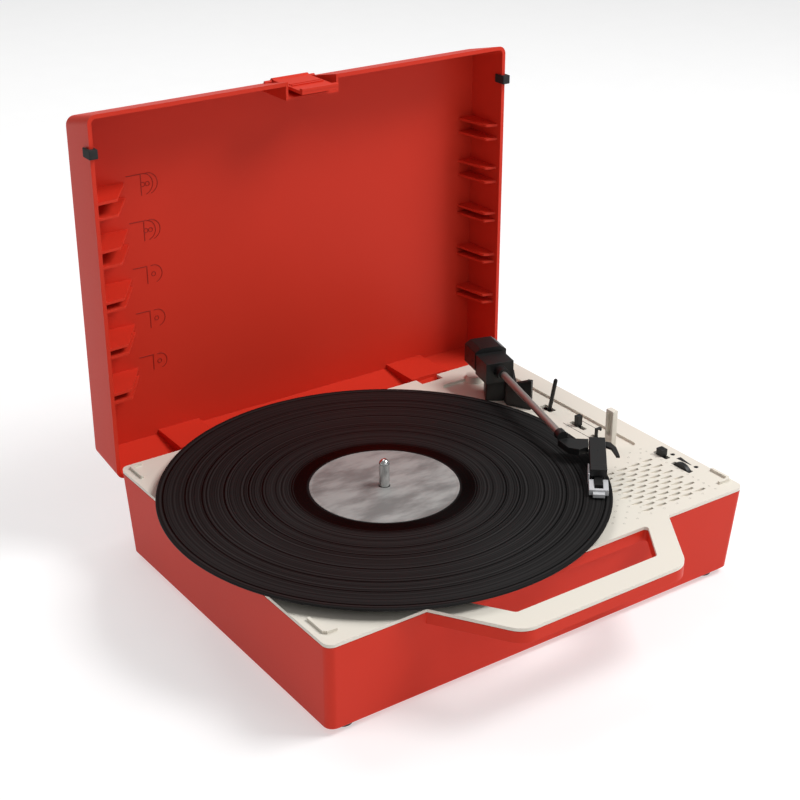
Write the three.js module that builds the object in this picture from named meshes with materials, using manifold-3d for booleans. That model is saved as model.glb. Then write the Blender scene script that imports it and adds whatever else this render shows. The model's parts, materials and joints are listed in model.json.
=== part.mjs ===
// Suitcase record player with its lid open and a 12 inch record on the platter.
// Millimetres. While the parts are built, x runs right, y runs back and z runs up from the top of the
// deck, with the front left corner of the deck at 0, 0. The whole player is moved at the end, so that the
// origin is the centre of its bounding box in x and y, on the surface that the feet stand on.
import * as THREE from "three";
import { mergeVertices } from "three/addons/utils/BufferGeometryUtils.js";
import ManifoldModule from "manifold-3d";

// ---------------------------------------------------------------- driving dimensions
const GAP = 0.3; // clearance between parts that touch
const RUNNING_FIT = 0.09; // radial clearance of a shaft that turns in its hole

// Case
const WIDTH = 333;
const DEPTH = 265;
const DECK_THICKNESS = 2.2;
const CASE_HEIGHT = 65; // deck top to the underside of the base
const CASE_WALL = 2.6;
const CASE_CORNER = 6; // radius of the upright corners
const CASE_TAPER_SIDE = 2.8; // how far each side leans in at the bottom
const CASE_TAPER_END = 4.6;
const CASE_BOTTOM_CHAMFER = 2.2;
const CASE_TOP = -DECK_THICKNESS - GAP;
const CASE_BOTTOM = -CASE_HEIGHT;

// Carrying handle, one piece with the front of the case
const HANDLE_ROOT_HALF = 97;
const HANDLE_TIP_HALF = 64;
const HANDLE_REACH = 50.8;
const HANDLE_BAR = 17.8;
const HANDLE_BOTTOM = -10.3;
const WINDOW_ROOT_HALF = 77;
const WINDOW_TIP_HALF = 56;
const WINDOW_START = 1.8;

// Feet and the screws that hold the deck down
const FOOT_RADIUS = 7;
const FOOT_HEIGHT = 2.4;
const FOOT_INSET_X = 18.5;
const FOOT_INSET_Y = 14.5;
const FLOOR = CASE_BOTTOM - GAP - FOOT_HEIGHT;
const SCREW_SPOTS = [[14, 32], [WIDTH - 11, 14], [18, DEPTH - 30], [WIDTH - 18, DEPTH - 30]];
const SCREW_RADIUS = 1.5;
const SCREW_POST_RADIUS = 4;
const SCREW_JOINT = CASE_BOTTOM + 14; // where the posts of base and deck meet

// Turntable
const SPINDLE_X = 127;
const SPINDLE_Y = 128;
const SPINDLE_RADIUS = 3.6;
const SPINDLE_RISE = 19.5; // top of the spindle above the record
const SHAFT_RADIUS = 3;
const RECORD_RADIUS = 150.8;
const RECORD_TOP = 8;
const RECORD_THICKNESS = 1.8;
const LABEL_RADIUS = 50;
const LABEL_THICKNESS = 0.4;
const MAT_RADIUS = 97;
const MAT_THICKNESS = 1.5;
const PLATTER_RADIUS = 98;
const PLATTER_THICKNESS = 2.6;
const WELL_RADIUS = 103;
const WELL_DEPTH = 9;
const BELT_RIM_RADIUS = 60;
const BELT = { low: -6.4, high: -2.6, thickness: 0.9 };
const PULLEY_RADIUS = 6;
const MOTOR_X = 52;
const MOTOR_Y = 128;
const MOTOR_SCREW_SPAN = 18;

// Tonearm: the arm points along -y in its own frame, which is turned in towards the record
const ARM_X = 281.5;
const ARM_Y = 210;
const ARM_TURN = 14.2; // degrees
const ARM_MOUNT_TURN = 33.7; // degrees that its base is turned on the deck
const ARM_PITCH = 2.5; // degrees that the tube drops towards the record
const ARM_AXIS_Z = 26.6; // height of the tilt axis
const ARM_BASE_TOP = 15;
const SWIVEL_RADIUS = 2.2;
const TILT_PIN_RADIUS = 1.2;
const TUBE_RADIUS = 2.6;
const TUBE_END = 113;
const ARM_BLOCK = { half: 11, front: -13, back: 7, low: 16.8, high: 32.6 };
const HEAD = { x: 23.3, y: -125.1, turn: 25.6, width: 11.2, length: 48, top: 20, depth: 5.4 };

// Recess in the deck round the tonearm
const BAY = { x0: 260, x1: 316.4, y0: 87.5, y1: 246, corner: 4, depth: 2 };

// Controls on the deck
const CUE = { x: 304.5, y: 171, radius: 1.5, top: 25.5, axis: -7, lean: 12 };
const SPEED = { x: 304, y: 137, top: 6.4, travel: 6 };
const AUTO_STOP = { x: 302.5, y: 115.5, top: 5, travel: 3 };
const MODE = { x: 319, y: 65.5, top: 5.2, travel: 3 };
const VOLUME = { x: 317.7, y: 43.8, radius: 9.6, rise: 3.2, half: 1.8 };
const LEDS = [[325.9, 61.6], [326, 38.6]];
const LED_RADIUS = 1.5;
const REST_POST = { x0: 298.2, x1: 302.9, y0: 94.8, y1: 102.2, top: 27.2 };

// Loudspeaker and its grille
const GRILLE_PITCH_X = 11.8;
const GRILLE_PITCH_Y = 5.15;
const GRILLE_ROWS = 11;
const GRILLE_START_Y = 13.3;
const GRILLE_END_X = 311;
const SLOT_LENGTH = 9.4;
const SLOT_WIDTH = 2.2;
const SPEAKER_X = 282;
const SPEAKER_Y = 39;
const SPEAKER_RADIUS = 28.2;

// Sockets on the back wall and the circuit board behind them
const JACK_Z = -38;
const DC_JACK_X = 42;
const RCA_JACKS_X = [78, 96];
const HEADPHONE_JACK_X = 118;
const JACK_FACE = 262;
const BOARD = { x0: 26, x1: 136, y0: 205, y1: 252, top: -44.4, thickness: 1.6 };

// Lid, given as if it were closed: y and z are as on the case
const LID = { x0: -0.2, x1: 333.2, y0: 6.6, y1: 264.8, rim: 0.4, top: 38.2 };
const LID_WALL = 2.8;
const LID_CORNER = 6;
const LID_LEAN_SIDE = 0.8;
const LID_LEAN_FRONT = 8.4;
const LID_LEAN_BACK = 4.5;
const LID_ROUND = 2.4;
const HINGE_Y = 261.2;
const HINGE_Z = -8.3;
const HINGE_CENTRES = [72.7, 260.3];
const HINGE_PIN_RADIUS = 1.6;
const HINGE_PIN_HALF = 13.7;
const HINGE_BOXES = [[50, 83], [250, 283]];
const HINGE_BOX_FRONT = 254.2;
const KNUCKLE_RADIUS = 4.2;
const KNUCKLE_WIDTH = 18.4;
const NOTCH_HALF = KNUCKLE_WIDTH / 2 + 0.6;
const NOTCH_FRONT = HINGE_Y - 4.5;
const RIB_THICKNESS = 1.8;
const RIB_BACKS = [67.7, 78.2, 100.7, 111.7, 136.7, 142.7, 170.2, 176.2, 203.7, 209.7];
const LATCH = { x0: 152, x1: 181, front: 11.9, back: 14.2, tip: -9.3, y: 13.3, z: 30.5, barrel: 2.4 };
const LATCH_PIN_RADIUS = 1.2;
const LATCH_POCKET = { x0: 147, x1: 185.4, back: 17.5, top: 33.6, wall: 1.8 };
const BUMPER = { y0: 28, y1: 34.4, z0: -3.2, z1: 7, outside: 2, inside: 4.2 };

// ---------------------------------------------------------------- materials
function material(colour, roughness, metalness = 0) {
  return new THREE.MeshStandardMaterial({ color: colour, roughness, metalness });
}

const RED_ABS = material(0xc23a2e, 0.42);
const CREAM_ABS = material(0xefece0, 0.45);
const BLACK_ABS = material(0x232222, 0.5);
const GREY_ABS = material(0xc9c9c7, 0.45);
const RUBBER = material(0x161616, 0.85);
const VINYL = material(0x121111, 0.3);
const PAPER = material(0x8c8c88, 0.8);
const CHROME = material(0xd8d8d8, 0.15, 1);
const STEEL = material(0x9d9c9a, 0.35, 1);
const BRASS = material(0xb89a56, 0.35, 1);
const GUNMETAL = material(0x6e6362, 0.35, 1);
const CIRCUIT_BOARD = material(0x2c6a3e, 0.6);
const CONE_PAPER = material(0x2b2a29, 0.8);
const RED_LENS = material(0x5a1512, 0.25);

// ---------------------------------------------------------------- solids
const wasm = await ManifoldModule();
wasm.setup();
const { degToRad } = THREE.MathUtils;

// A geometry as a closed solid: positions only, shared corners, no collapsed triangles.
function solid(geometry) {
  const bare = new THREE.BufferGeometry();
  bare.setAttribute("position", geometry.attributes.position.clone());
  if (geometry.index) bare.setIndex(geometry.index.clone());
  const merged = mergeVertices(bare, 1e-4);
  const index = merged.index.array;
  const triangles = [];
  for (let i = 0; i < index.length; i += 3) {
    const [a, b, c] = [index[i], index[i + 1], index[i + 2]];
    if (a !== b && b !== c && a !== c) triangles.push(a, b, c);
  }
  return new wasm.Manifold(
    new wasm.Mesh({
      numProp: 3,
      vertProperties: Float32Array.from(merged.attributes.position.array),
      triVerts: Uint32Array.from(triangles),
    }),
  );
}

function join(...solids) {
  return solids.reduce((total, next) => total.add(next));
}

function cut(body, ...tools) {
  return body.subtract(join(...tools));
}

function box(x0, x1, y0, y1, z0, z1) {
  const geometry = new THREE.BoxGeometry(x1 - x0, y1 - y0, z1 - z0);
  geometry.translate((x0 + x1) / 2, (y0 + y1) / 2, (z0 + z1) / 2);
  return solid(geometry);
}

// An upright cylinder, or a cone when the two radii differ.
function rod(x, y, z0, z1, radius, sides = 32, topRadius = radius) {
  const geometry = new THREE.CylinderGeometry(topRadius, radius, z1 - z0, sides);
  geometry.rotateX(Math.PI / 2);
  geometry.translate(x, y, (z0 + z1) / 2);
  return solid(geometry);
}

// A cylinder that lies along x.
function axle(x0, x1, y, z, radius, sides = 24) {
  const geometry = new THREE.CylinderGeometry(radius, radius, x1 - x0, sides);
  geometry.rotateZ(Math.PI / 2);
  geometry.translate((x0 + x1) / 2, y, z);
  return solid(geometry);
}

// A cylinder that lies along y, turned about the x axis by pitch degrees.
function pipe(x, y0, y1, z, radius, sides = 24, pitch = 0) {
  const geometry = new THREE.CylinderGeometry(radius, radius, y1 - y0, sides);
  geometry.translate(0, (y0 + y1) / 2, 0);
  geometry.rotateX(degToRad(pitch));
  geometry.translate(x, 0, z);
  return solid(geometry);
}

// A profile of [radius, z] points turned about the z axis.
function turned(profile, sides = 64) {
  const geometry = new THREE.LatheGeometry(profile.map(([r, z]) => new THREE.Vector2(r, z)), sides);
  geometry.rotateX(Math.PI / 2);
  return solid(geometry);
}

function ring(innerRadius, outerRadius, z0, z1, sides) {
  return turned(
    [[innerRadius, z0], [outerRadius, z0], [outerRadius, z1], [innerRadius, z1], [innerRadius, z0]],
    sides,
  );
}

// A closed outline from [x, y, radius] corners, which run counterclockwise.
function outline(corners) {
  const shape = new THREE.Shape();
  corners.forEach(([x, y, radius = 0], i) => {
    const [px, py] = corners[(i + corners.length - 1) % corners.length];
    const [nx, ny] = corners[(i + 1) % corners.length];
    const corner = new THREE.Vector2(x, y);
    const back = new THREE.Vector2(px - x, py - y).normalize();
    const ahead = new THREE.Vector2(nx - x, ny - y).normalize();
    const half = Math.acos(THREE.MathUtils.clamp(back.dot(ahead), -1, 1)) / 2;
    const reach = radius / Math.tan(half);
    const start = corner.clone().addScaledVector(back, reach);
    const end = corner.clone().addScaledVector(ahead, reach);
    if (i === 0) shape.moveTo(start.x, start.y);
    else shape.lineTo(start.x, start.y);
    if (radius > 0) {
      const middle = back.clone().add(ahead).normalize();
      const centre = corner.clone().addScaledVector(middle, radius / Math.sin(half));
      const from = Math.atan2(start.y - centre.y, start.x - centre.x);
      const to = Math.atan2(end.y - centre.y, end.x - centre.x);
      const clockwise = back.cross(ahead) > 0;
      shape.absarc(centre.x, centre.y, radius, from, to, clockwise);
    }
  });
  shape.closePath();
  return shape;
}

function rectangle(x0, x1, y0, y1, radius) {
  return outline([[x0, y0, radius], [x1, y0, radius], [x1, y1, radius], [x0, y1, radius]]);
}

function extruded(shape, depth, curveSegments = 5) {
  return new THREE.ExtrudeGeometry(shape, { depth, bevelEnabled: false, curveSegments });
}

function slab(shape, z0, z1, curveSegments = 5) {
  const geometry = extruded(shape, z1 - z0, curveSegments);
  geometry.translate(0, 0, z0);
  return solid(geometry);
}

// A plate from x0 to x1 whose outline is given as y, z corners.
function plateAcrossX(corners, x0, x1) {
  const geometry = extruded(outline(corners), x1 - x0);
  geometry.rotateY(Math.PI / 2);
  geometry.rotateX(Math.PI / 2);
  geometry.translate(x0, 0, 0);
  return solid(geometry);
}

// A plate from y0 to y1 whose outline is given as x, z corners.
function plateAcrossY(corners, y0, y1) {
  const geometry = extruded(outline(corners), y1 - y0);
  geometry.rotateX(Math.PI / 2);
  geometry.translate(0, y1, 0);
  return solid(geometry);
}

// A rounded rectangular block whose sides step in from level to level. Each level gives its z and how
// far its sides, front and back stand in from the rectangle.
function leaningBlock(x0, x1, y0, y1, radius, levels) {
  const steps = levels.length - 1;
  const geometry = new THREE.ExtrudeGeometry(rectangle(x0, x1, y0, y1, radius), {
    depth: steps,
    steps,
    bevelEnabled: false,
    curveSegments: 3,
  });
  const position = geometry.attributes.position;
  const middleX = (x0 + x1) / 2;
  const middleY = (y0 + y1) / 2;
  for (let i = 0; i < position.count; i += 1) {
    const { z, side, front, back } = levels[Math.round(position.getZ(i))];
    const x = position.getX(i);
    const y = position.getY(i);
    position.setXYZ(i, x < middleX ? x + side : x - side, y < middleY ? y + front : y - back, z);
  }
  return solid(geometry);
}

// ---------------------------------------------------------------- groups and named parts
function subgroup(parent, x, y, z, turnX = 0, turnZ = 0) {
  const child = new THREE.Group();
  child.position.set(x, y, z);
  child.rotation.set(degToRad(turnX), 0, degToRad(turnZ));
  parent.add(child);
  return child;
}

const player = new THREE.Group();
player.name = "suitcase_record_player";
const LEFT_END = SPINDLE_X - RECORD_RADIUS;
const RIGHT_END = LID.x1 + BUMPER.outside;
const BACK_END = HINGE_Y - HINGE_Z + LID.top;
const deck = subgroup(player, -(LEFT_END + RIGHT_END) / 2, (HANDLE_REACH - BACK_END) / 2, -FLOOR);

function add(name, body, look, parent = deck) {
  const mesh = body.getMesh();
  const geometry = new THREE.BufferGeometry();
  geometry.setAttribute("position", new THREE.BufferAttribute(Float32Array.from(mesh.vertProperties), 3));
  geometry.setIndex(new THREE.BufferAttribute(Uint32Array.from(mesh.triVerts), 1));
  const node = new THREE.Mesh(geometry, look);
  node.name = name;
  parent.add(node);
  return node;
}

// ---------------------------------------------------------------- case
const MIDDLE_X = WIDTH / 2;

function handleOutline() {
  return outline([
    [MIDDLE_X - HANDLE_ROOT_HALF, 4],
    [MIDDLE_X - HANDLE_ROOT_HALF, 0],
    [MIDDLE_X - HANDLE_TIP_HALF, -HANDLE_REACH, 16],
    [MIDDLE_X + HANDLE_TIP_HALF, -HANDLE_REACH, 16],
    [MIDDLE_X + HANDLE_ROOT_HALF, 0],
    [MIDDLE_X + HANDLE_ROOT_HALF, 4],
  ]);
}

function windowOutline() {
  return outline([
    [MIDDLE_X - WINDOW_TIP_HALF, HANDLE_BAR - HANDLE_REACH, 3],
    [MIDDLE_X + WINDOW_TIP_HALF, HANDLE_BAR - HANDLE_REACH, 3],
    [MIDDLE_X + WINDOW_ROOT_HALF, -WINDOW_START, 2],
    [MIDDLE_X - WINDOW_ROOT_HALF, -WINDOW_START, 2],
  ]);
}

const BOARD_POSTS = [
  [BOARD.x0 + 5, BOARD.y0 + 5],
  [BOARD.x1 - 5, BOARD.y0 + 5],
  [BOARD.x0 + 5, BOARD.y1 - 5],
];

function baseShell() {
  const outside = leaningBlock(0, WIDTH, 0, DEPTH, CASE_CORNER, [
    {
      z: CASE_BOTTOM,
      side: CASE_TAPER_SIDE + CASE_BOTTOM_CHAMFER,
      front: CASE_TAPER_END + CASE_BOTTOM_CHAMFER,
      back: CASE_TAPER_END + CASE_BOTTOM_CHAMFER,
    },
    {
      z: CASE_BOTTOM + CASE_BOTTOM_CHAMFER,
      side: CASE_TAPER_SIDE,
      front: CASE_TAPER_END,
      back: CASE_TAPER_END,
    },
    { z: CASE_TOP, side: 0, front: 0, back: 0 },
  ]);
  const w = CASE_WALL;
  const inside = leaningBlock(w, WIDTH - w, w, DEPTH - w, CASE_CORNER - w, [
    { z: CASE_BOTTOM + w, side: CASE_TAPER_SIDE, front: CASE_TAPER_END, back: CASE_TAPER_END },
    { z: CASE_TOP + 1, side: 0, front: 0, back: 0 },
  ]);
  const handle = cut(
    slab(handleOutline(), HANDLE_BOTTOM, CASE_TOP),
    slab(windowOutline(), HANDLE_BOTTOM - 1, CASE_TOP + 1),
    inside,
  );
  const screwPosts = SCREW_SPOTS.map(([x, y]) =>
    rod(x, y, CASE_BOTTOM + 1, SCREW_JOINT, SCREW_POST_RADIUS, 12),
  );
  const boardPosts = BOARD_POSTS.map(([x, y]) =>
    rod(x, y, CASE_BOTTOM + 1, BOARD.top - BOARD.thickness - GAP, 3, 12),
  );
  // Blocks beside each hinge notch hold the ends of its pin.
  const cheeks = HINGE_CENTRES.flatMap((x) => [
    box(x - NOTCH_HALF - 5, x - NOTCH_HALF, HINGE_Y - 5.4, DEPTH - 1.2, -15, CASE_TOP),
    box(x + NOTCH_HALF, x + NOTCH_HALF + 5, HINGE_Y - 5.4, DEPTH - 1.2, -15, CASE_TOP),
  ]);
  const notches = HINGE_CENTRES.map((x) =>
    box(x - NOTCH_HALF, x + NOTCH_HALF, NOTCH_FRONT, DEPTH + 5, -14, 5),
  );
  const pinHoles = HINGE_CENTRES.map((x) =>
    axle(x - HINGE_PIN_HALF - GAP, x + HINGE_PIN_HALF + GAP, HINGE_Y, HINGE_Z, HINGE_PIN_RADIUS + 0.2),
  );
  const screwHoles = SCREW_SPOTS.flatMap(([x, y]) => [
    rod(x, y, CASE_BOTTOM - 1, SCREW_JOINT + 1, SCREW_RADIUS + 0.3, 12),
    rod(x, y, CASE_BOTTOM - 1, CASE_BOTTOM + 8, 3.2, 12),
  ]);
  const jackHoles = [
    box(DC_JACK_X - 4.8, DC_JACK_X + 4.8, DEPTH - 12, DEPTH + 2, JACK_Z - 4.8, JACK_Z + 4.8),
    ...RCA_JACKS_X.map((x) => pipe(x, DEPTH - 12, DEPTH + 2, JACK_Z, 5.3, 20)),
    pipe(HEADPHONE_JACK_X, DEPTH - 12, DEPTH + 2, JACK_Z, 4.3, 20),
  ];
  const shell = join(cut(outside, inside), handle, ...screwPosts, ...boardPosts, ...cheeks);
  return cut(shell, ...notches, ...pinHoles, ...screwHoles, ...jackHoles);
}

function grilleSlots() {
  const slots = [];
  for (let row = 0; row < GRILLE_ROWS; row += 1) {
    const y = GRILLE_START_Y + row * GRILLE_PITCH_Y;
    const shift = row % 2 === 0 ? 0 : GRILLE_PITCH_X / 2;
    const skipped = row === GRILLE_ROWS - 1 ? 1 : 0;
    for (let end = 262 + shift + skipped * GRILLE_PITCH_X; end < GRILLE_END_X; end += GRILLE_PITCH_X) {
      slots.push(box(end - SLOT_LENGTH, end, y - SLOT_WIDTH / 2, y + SLOT_WIDTH / 2, -4, 1));
    }
  }
  return slots;
}

// A raised L beside a corner of the deck, which the closed lid drops round. The corner of the L is at
// x, y, and its legs run to x + alongX and y + alongY.
function cornerTab(x, y, alongX, alongY) {
  const thick = 2;
  const [sx, sy] = [Math.sign(alongX), Math.sign(alongY)];
  const between = (a, b, c, d) =>
    box(Math.min(a, b), Math.max(a, b), Math.min(c, d), Math.max(c, d), -0.5, 2);
  return join(
    between(x, x + sx * thick, y + sy * 2, y + alongY),
    between(x + sx * 2, x + alongX, y, y + sy * thick),
    between(x + sx, x + sx * 3, y + sy, y + sy * 3),
  );
}

// Places on the deck of points in the frame of the tonearm's base.
function besideArm(x, y) {
  const point = new THREE.Vector2(x, y).rotateAround(new THREE.Vector2(), -degToRad(ARM_MOUNT_TURN));
  return [ARM_X + point.x, ARM_Y + point.y];
}
const ARM_SCREWS = [[13, 0], [7, 11]];

function slotAlongY(x, y, halfWidth, halfLength) {
  return slab(rectangle(x - halfWidth, x + halfWidth, y - halfLength, y + halfLength, 0.8), -8, 1, 1);
}

function deckPlate() {
  const t = DECK_THICKNESS;
  const plate = slab(rectangle(0, WIDTH, 0, DEPTH, CASE_CORNER), -t, 0);
  const handle = cut(slab(handleOutline(), -t, 0), slab(windowOutline(), -t - 1, 1));
  const well = rod(SPINDLE_X, SPINDLE_Y, -WELL_DEPTH - t, -t / 2, WELL_RADIUS + t, 48);
  const bayFloor = slab(
    rectangle(BAY.x0 - t, BAY.x1 + t, BAY.y0 - t, BAY.y1 + t, BAY.corner + t),
    -BAY.depth - t,
    -t / 2,
  );
  const tabs = [
    cornerTab(5, 11, 9, 19),
    cornerTab(WIDTH - 1, 11, -11, 18),
    cornerTab(5, DEPTH - 4, 9, -19),
    cornerTab(WIDTH - 5, DEPTH - 4, -9, -19),
  ];
  const screwPosts = SCREW_SPOTS.map(([x, y]) =>
    rod(x, y, SCREW_JOINT + GAP, -t / 2, SCREW_POST_RADIUS, 12),
  );
  const cableBoss = rod(290, 243, -BAY.depth - 1, 3, 8, 16, 6.4);
  const openings = [
    rod(SPINDLE_X, SPINDLE_Y, -WELL_DEPTH, 1, WELL_RADIUS, 48),
    rod(SPINDLE_X, SPINDLE_Y, -20, 1, 9.3, 24),
    rod(MOTOR_X, MOTOR_Y, -20, 1, PULLEY_RADIUS + 2.6, 24),
    rod(MOTOR_X, MOTOR_Y - MOTOR_SCREW_SPAN, -20, 1, 1.6, 12),
    rod(MOTOR_X, MOTOR_Y + MOTOR_SCREW_SPAN, -20, 1, 1.6, 12),
    slab(rectangle(BAY.x0, BAY.x1, BAY.y0, BAY.y1, BAY.corner), -BAY.depth, 1),
    box(LATCH.x0 - 2, LATCH.x1 + 2, 11.2, 16.5, -t - 1, 1),
    rod(ARM_X, ARM_Y, -20, 1, 5, 24),
    ...ARM_SCREWS.map(([x, y]) => rod(...besideArm(x, y), -20, 1, 1.6, 12)),
    slotAlongY(CUE.x, CUE.y + 1, 3.2, 6.2),
    slotAlongY(SPEED.x, SPEED.y, 1.9, SPEED.travel + 1.9),
    slotAlongY(AUTO_STOP.x, AUTO_STOP.y, 1.3, AUTO_STOP.travel + 1.5),
    slotAlongY(MODE.x, MODE.y, 2.2, MODE.travel + 3.8),
    slotAlongY(VOLUME.x, VOLUME.y, VOLUME.half + 0.4, 9),
    ...LEDS.map(([x, y]) => rod(x, y, -8, 1, LED_RADIUS + 0.3, 12)),
    ...grilleSlots(),
  ];
  const notches = HINGE_CENTRES.map((x) =>
    box(x - NOTCH_HALF, x + NOTCH_HALF, NOTCH_FRONT, DEPTH + 5, -t - 1, 3),
  );
  const screwHoles = SCREW_SPOTS.map(([x, y]) =>
    rod(x, y, SCREW_JOINT - 2, SCREW_JOINT + 16, SCREW_RADIUS + 0.3, 12),
  );
  const cutDeck = cut(join(plate, handle, well, bayFloor, ...tabs, ...screwPosts), ...openings, ...notches);
  return cut(join(cutDeck, cableBoss), ...screwHoles);
}

add("base_shell", baseShell(), RED_ABS);
add("deck_plate", deckPlate(), CREAM_ABS);

const CORNER_NAMES = ["front_left", "front_right", "rear_left", "rear_right"];
CORNER_NAMES.forEach((name, i) => {
  const x = i % 2 === 0 ? FOOT_INSET_X : WIDTH - FOOT_INSET_X;
  const y = i < 2 ? FOOT_INSET_Y : DEPTH - FOOT_INSET_Y;
  const corner = subgroup(deck, x, y, 0);
  const foot = rod(0, 0, FLOOR, CASE_BOTTOM - GAP, FOOT_RADIUS - 0.8, 20, FOOT_RADIUS);
  add(`foot_${name}`, foot, RUBBER, corner);
});
SCREW_SPOTS.forEach(([x, y], i) => {
  const head = rod(0, 0, CASE_BOTTOM + 5.4, CASE_BOTTOM + 7.6, 2.8, 12);
  const shank = rod(0, 0, CASE_BOTTOM + 7, SCREW_JOINT + 13, SCREW_RADIUS, 12);
  add(`deck_screw_${CORNER_NAMES[i]}`, join(head, shank), STEEL, subgroup(deck, x, y, 0));
});

// ---------------------------------------------------------------- turntable
const RECORD_BOTTOM = RECORD_TOP - RECORD_THICKNESS;
const MAT_TOP = RECORD_BOTTOM - GAP;
const PLATTER_TOP = MAT_TOP - MAT_THICKNESS - GAP;
const PLATTER_UNDER = PLATTER_TOP - PLATTER_THICKNESS;
const HUB_BOTTOM = -7.4;
const BORE_RADIUS = SPINDLE_RADIUS + 0.3;
const turntable = subgroup(deck, SPINDLE_X, SPINDLE_Y, 0);

// Disc, outer skirt, belt rim and hub as one moulding.
const PLATTER_PROFILE = [
  [BORE_RADIUS, HUB_BOTTOM],
  [11, HUB_BOTTOM],
  [11, PLATTER_UNDER],
  [BELT_RIM_RADIUS - 2.4, PLATTER_UNDER],
  [BELT_RIM_RADIUS - 2.4, HUB_BOTTOM],
  [BELT_RIM_RADIUS, HUB_BOTTOM],
  [BELT_RIM_RADIUS, PLATTER_UNDER],
  [PLATTER_RADIUS - 2.6, PLATTER_UNDER],
  [PLATTER_RADIUS - 2.2, -3.4],
  [PLATTER_RADIUS, -3.4],
  [PLATTER_RADIUS, PLATTER_TOP - 0.8],
  [PLATTER_RADIUS - 0.8, PLATTER_TOP],
  [BORE_RADIUS, PLATTER_TOP],
  [BORE_RADIUS, HUB_BOTTOM],
];
add("platter", turned(PLATTER_PROFILE, 40), BLACK_ABS, turntable);
add("slipmat", ring(BORE_RADIUS, MAT_RADIUS, MAT_TOP - MAT_THICKNESS, MAT_TOP, 48), RUBBER, turntable);

// The rim of a record and the ground under its label stand a little above the playing surface.
const LABEL_GROUND = RECORD_TOP - 0.5;
const RECORD_PROFILE = [
  [BORE_RADIUS, RECORD_BOTTOM],
  [RECORD_RADIUS - 0.5, RECORD_BOTTOM],
  [RECORD_RADIUS, RECORD_BOTTOM + 0.5],
  [RECORD_RADIUS, RECORD_TOP - 0.5],
  [RECORD_RADIUS - 0.5, RECORD_TOP],
  [RECORD_RADIUS - 3, RECORD_TOP],
  [RECORD_RADIUS - 5, RECORD_TOP - 0.3],
  [LABEL_RADIUS + 1, RECORD_TOP - 0.3],
  [LABEL_RADIUS + 0.4, LABEL_GROUND],
  [BORE_RADIUS, LABEL_GROUND],
  [BORE_RADIUS, RECORD_BOTTOM],
];
add("record", turned(RECORD_PROFILE, 64), VINYL, turntable);
add("record_label", ring(BORE_RADIUS, LABEL_RADIUS, LABEL_GROUND + 0.1, RECORD_TOP, 48), PAPER, turntable);

// The shaft stands in the bearing, and the pin above it carries the record.
const BEARING_TOP = -8;
const SHAFT_BOTTOM = -29;
const SPINDLE_TOP = RECORD_TOP + SPINDLE_RISE;
const SPINDLE_PROFILE = [
  [0, SHAFT_BOTTOM],
  [SHAFT_RADIUS, SHAFT_BOTTOM],
  [SHAFT_RADIUS, BEARING_TOP + GAP],
  [SPINDLE_RADIUS, BEARING_TOP + 1],
  [SPINDLE_RADIUS, SPINDLE_TOP - 3.4],
  [SPINDLE_RADIUS * 0.92, SPINDLE_TOP - 1.9],
  [SPINDLE_RADIUS * 0.68, SPINDLE_TOP - 0.7],
  [SPINDLE_RADIUS * 0.34, SPINDLE_TOP - 0.1],
  [0, SPINDLE_TOP],
];
add("spindle", turned(SPINDLE_PROFILE, 20), CHROME, turntable);

const WELL_UNDER = -WELL_DEPTH - DECK_THICKNESS;
const BEARING_PROFILE = [
  [0, SHAFT_BOTTOM - 3],
  [6.5, SHAFT_BOTTOM - 3],
  [6.5, WELL_UNDER - 3],
  [12, WELL_UNDER - 3],
  [12, WELL_UNDER - GAP],
  [9, WELL_UNDER - GAP],
  [9, BEARING_TOP],
  [SHAFT_RADIUS + RUNNING_FIT, BEARING_TOP],
  [SHAFT_RADIUS + RUNNING_FIT, SHAFT_BOTTOM - GAP],
  [0, SHAFT_BOTTOM - GAP],
];
add("platter_bearing", turned(BEARING_PROFILE, 20), BRASS, turntable);

// The path of the belt round the platter's rim and the pulley, standing off from both.
function beltPath(offset) {
  const lean = Math.acos((BELT_RIM_RADIUS - PULLEY_RADIUS) / (SPINDLE_X - MOTOR_X));
  const shape = new THREE.Shape();
  shape.absarc(SPINDLE_X, SPINDLE_Y, BELT_RIM_RADIUS + offset, lean - Math.PI, Math.PI - lean, false);
  shape.absarc(MOTOR_X, MOTOR_Y, PULLEY_RADIUS + offset, Math.PI - lean, Math.PI + lean, false);
  shape.closePath();
  return shape;
}
const beltOutside = slab(beltPath(GAP + BELT.thickness), BELT.low, BELT.high, 20);
const beltInside = slab(beltPath(GAP), BELT.low - 1, BELT.high + 1, 20);
add("drive_belt", cut(beltOutside, beltInside), RUBBER);

// ---------------------------------------------------------------- motor
const MOUNT_TOP = WELL_UNDER - GAP;
const MOUNT_UNDER = MOUNT_TOP - 2.2;
const motor = subgroup(deck, MOTOR_X, MOTOR_Y, 0);
const mountPlate = slab(rectangle(-13, 13, -23, 23, 4), MOUNT_UNDER, MOUNT_TOP);
const mountHoles = [
  rod(0, 0, -20, 0, 3.4, 20),
  rod(0, -MOTOR_SCREW_SPAN, -20, 0, 1.4, 12),
  rod(0, MOTOR_SCREW_SPAN, -20, 0, 1.4, 12),
];
add("motor_mount", cut(mountPlate, ...mountHoles), STEEL, motor);
["front", "rear"].forEach((name, i) => {
  const y = i === 0 ? -MOTOR_SCREW_SPAN : MOTOR_SCREW_SPAN;
  const head = rod(0, y, -WELL_DEPTH + GAP, -WELL_DEPTH + 1.6, 2.6, 16);
  const shank = rod(0, y, MOUNT_UNDER - 2, -WELL_DEPTH + 1, 1.1, 12);
  add(`motor_screw_${name}`, join(head, shank), STEEL, motor);
});
add("motor", rod(0, 0, -40, MOUNT_UNDER - GAP, 13.5, 20), STEEL, motor);
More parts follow.
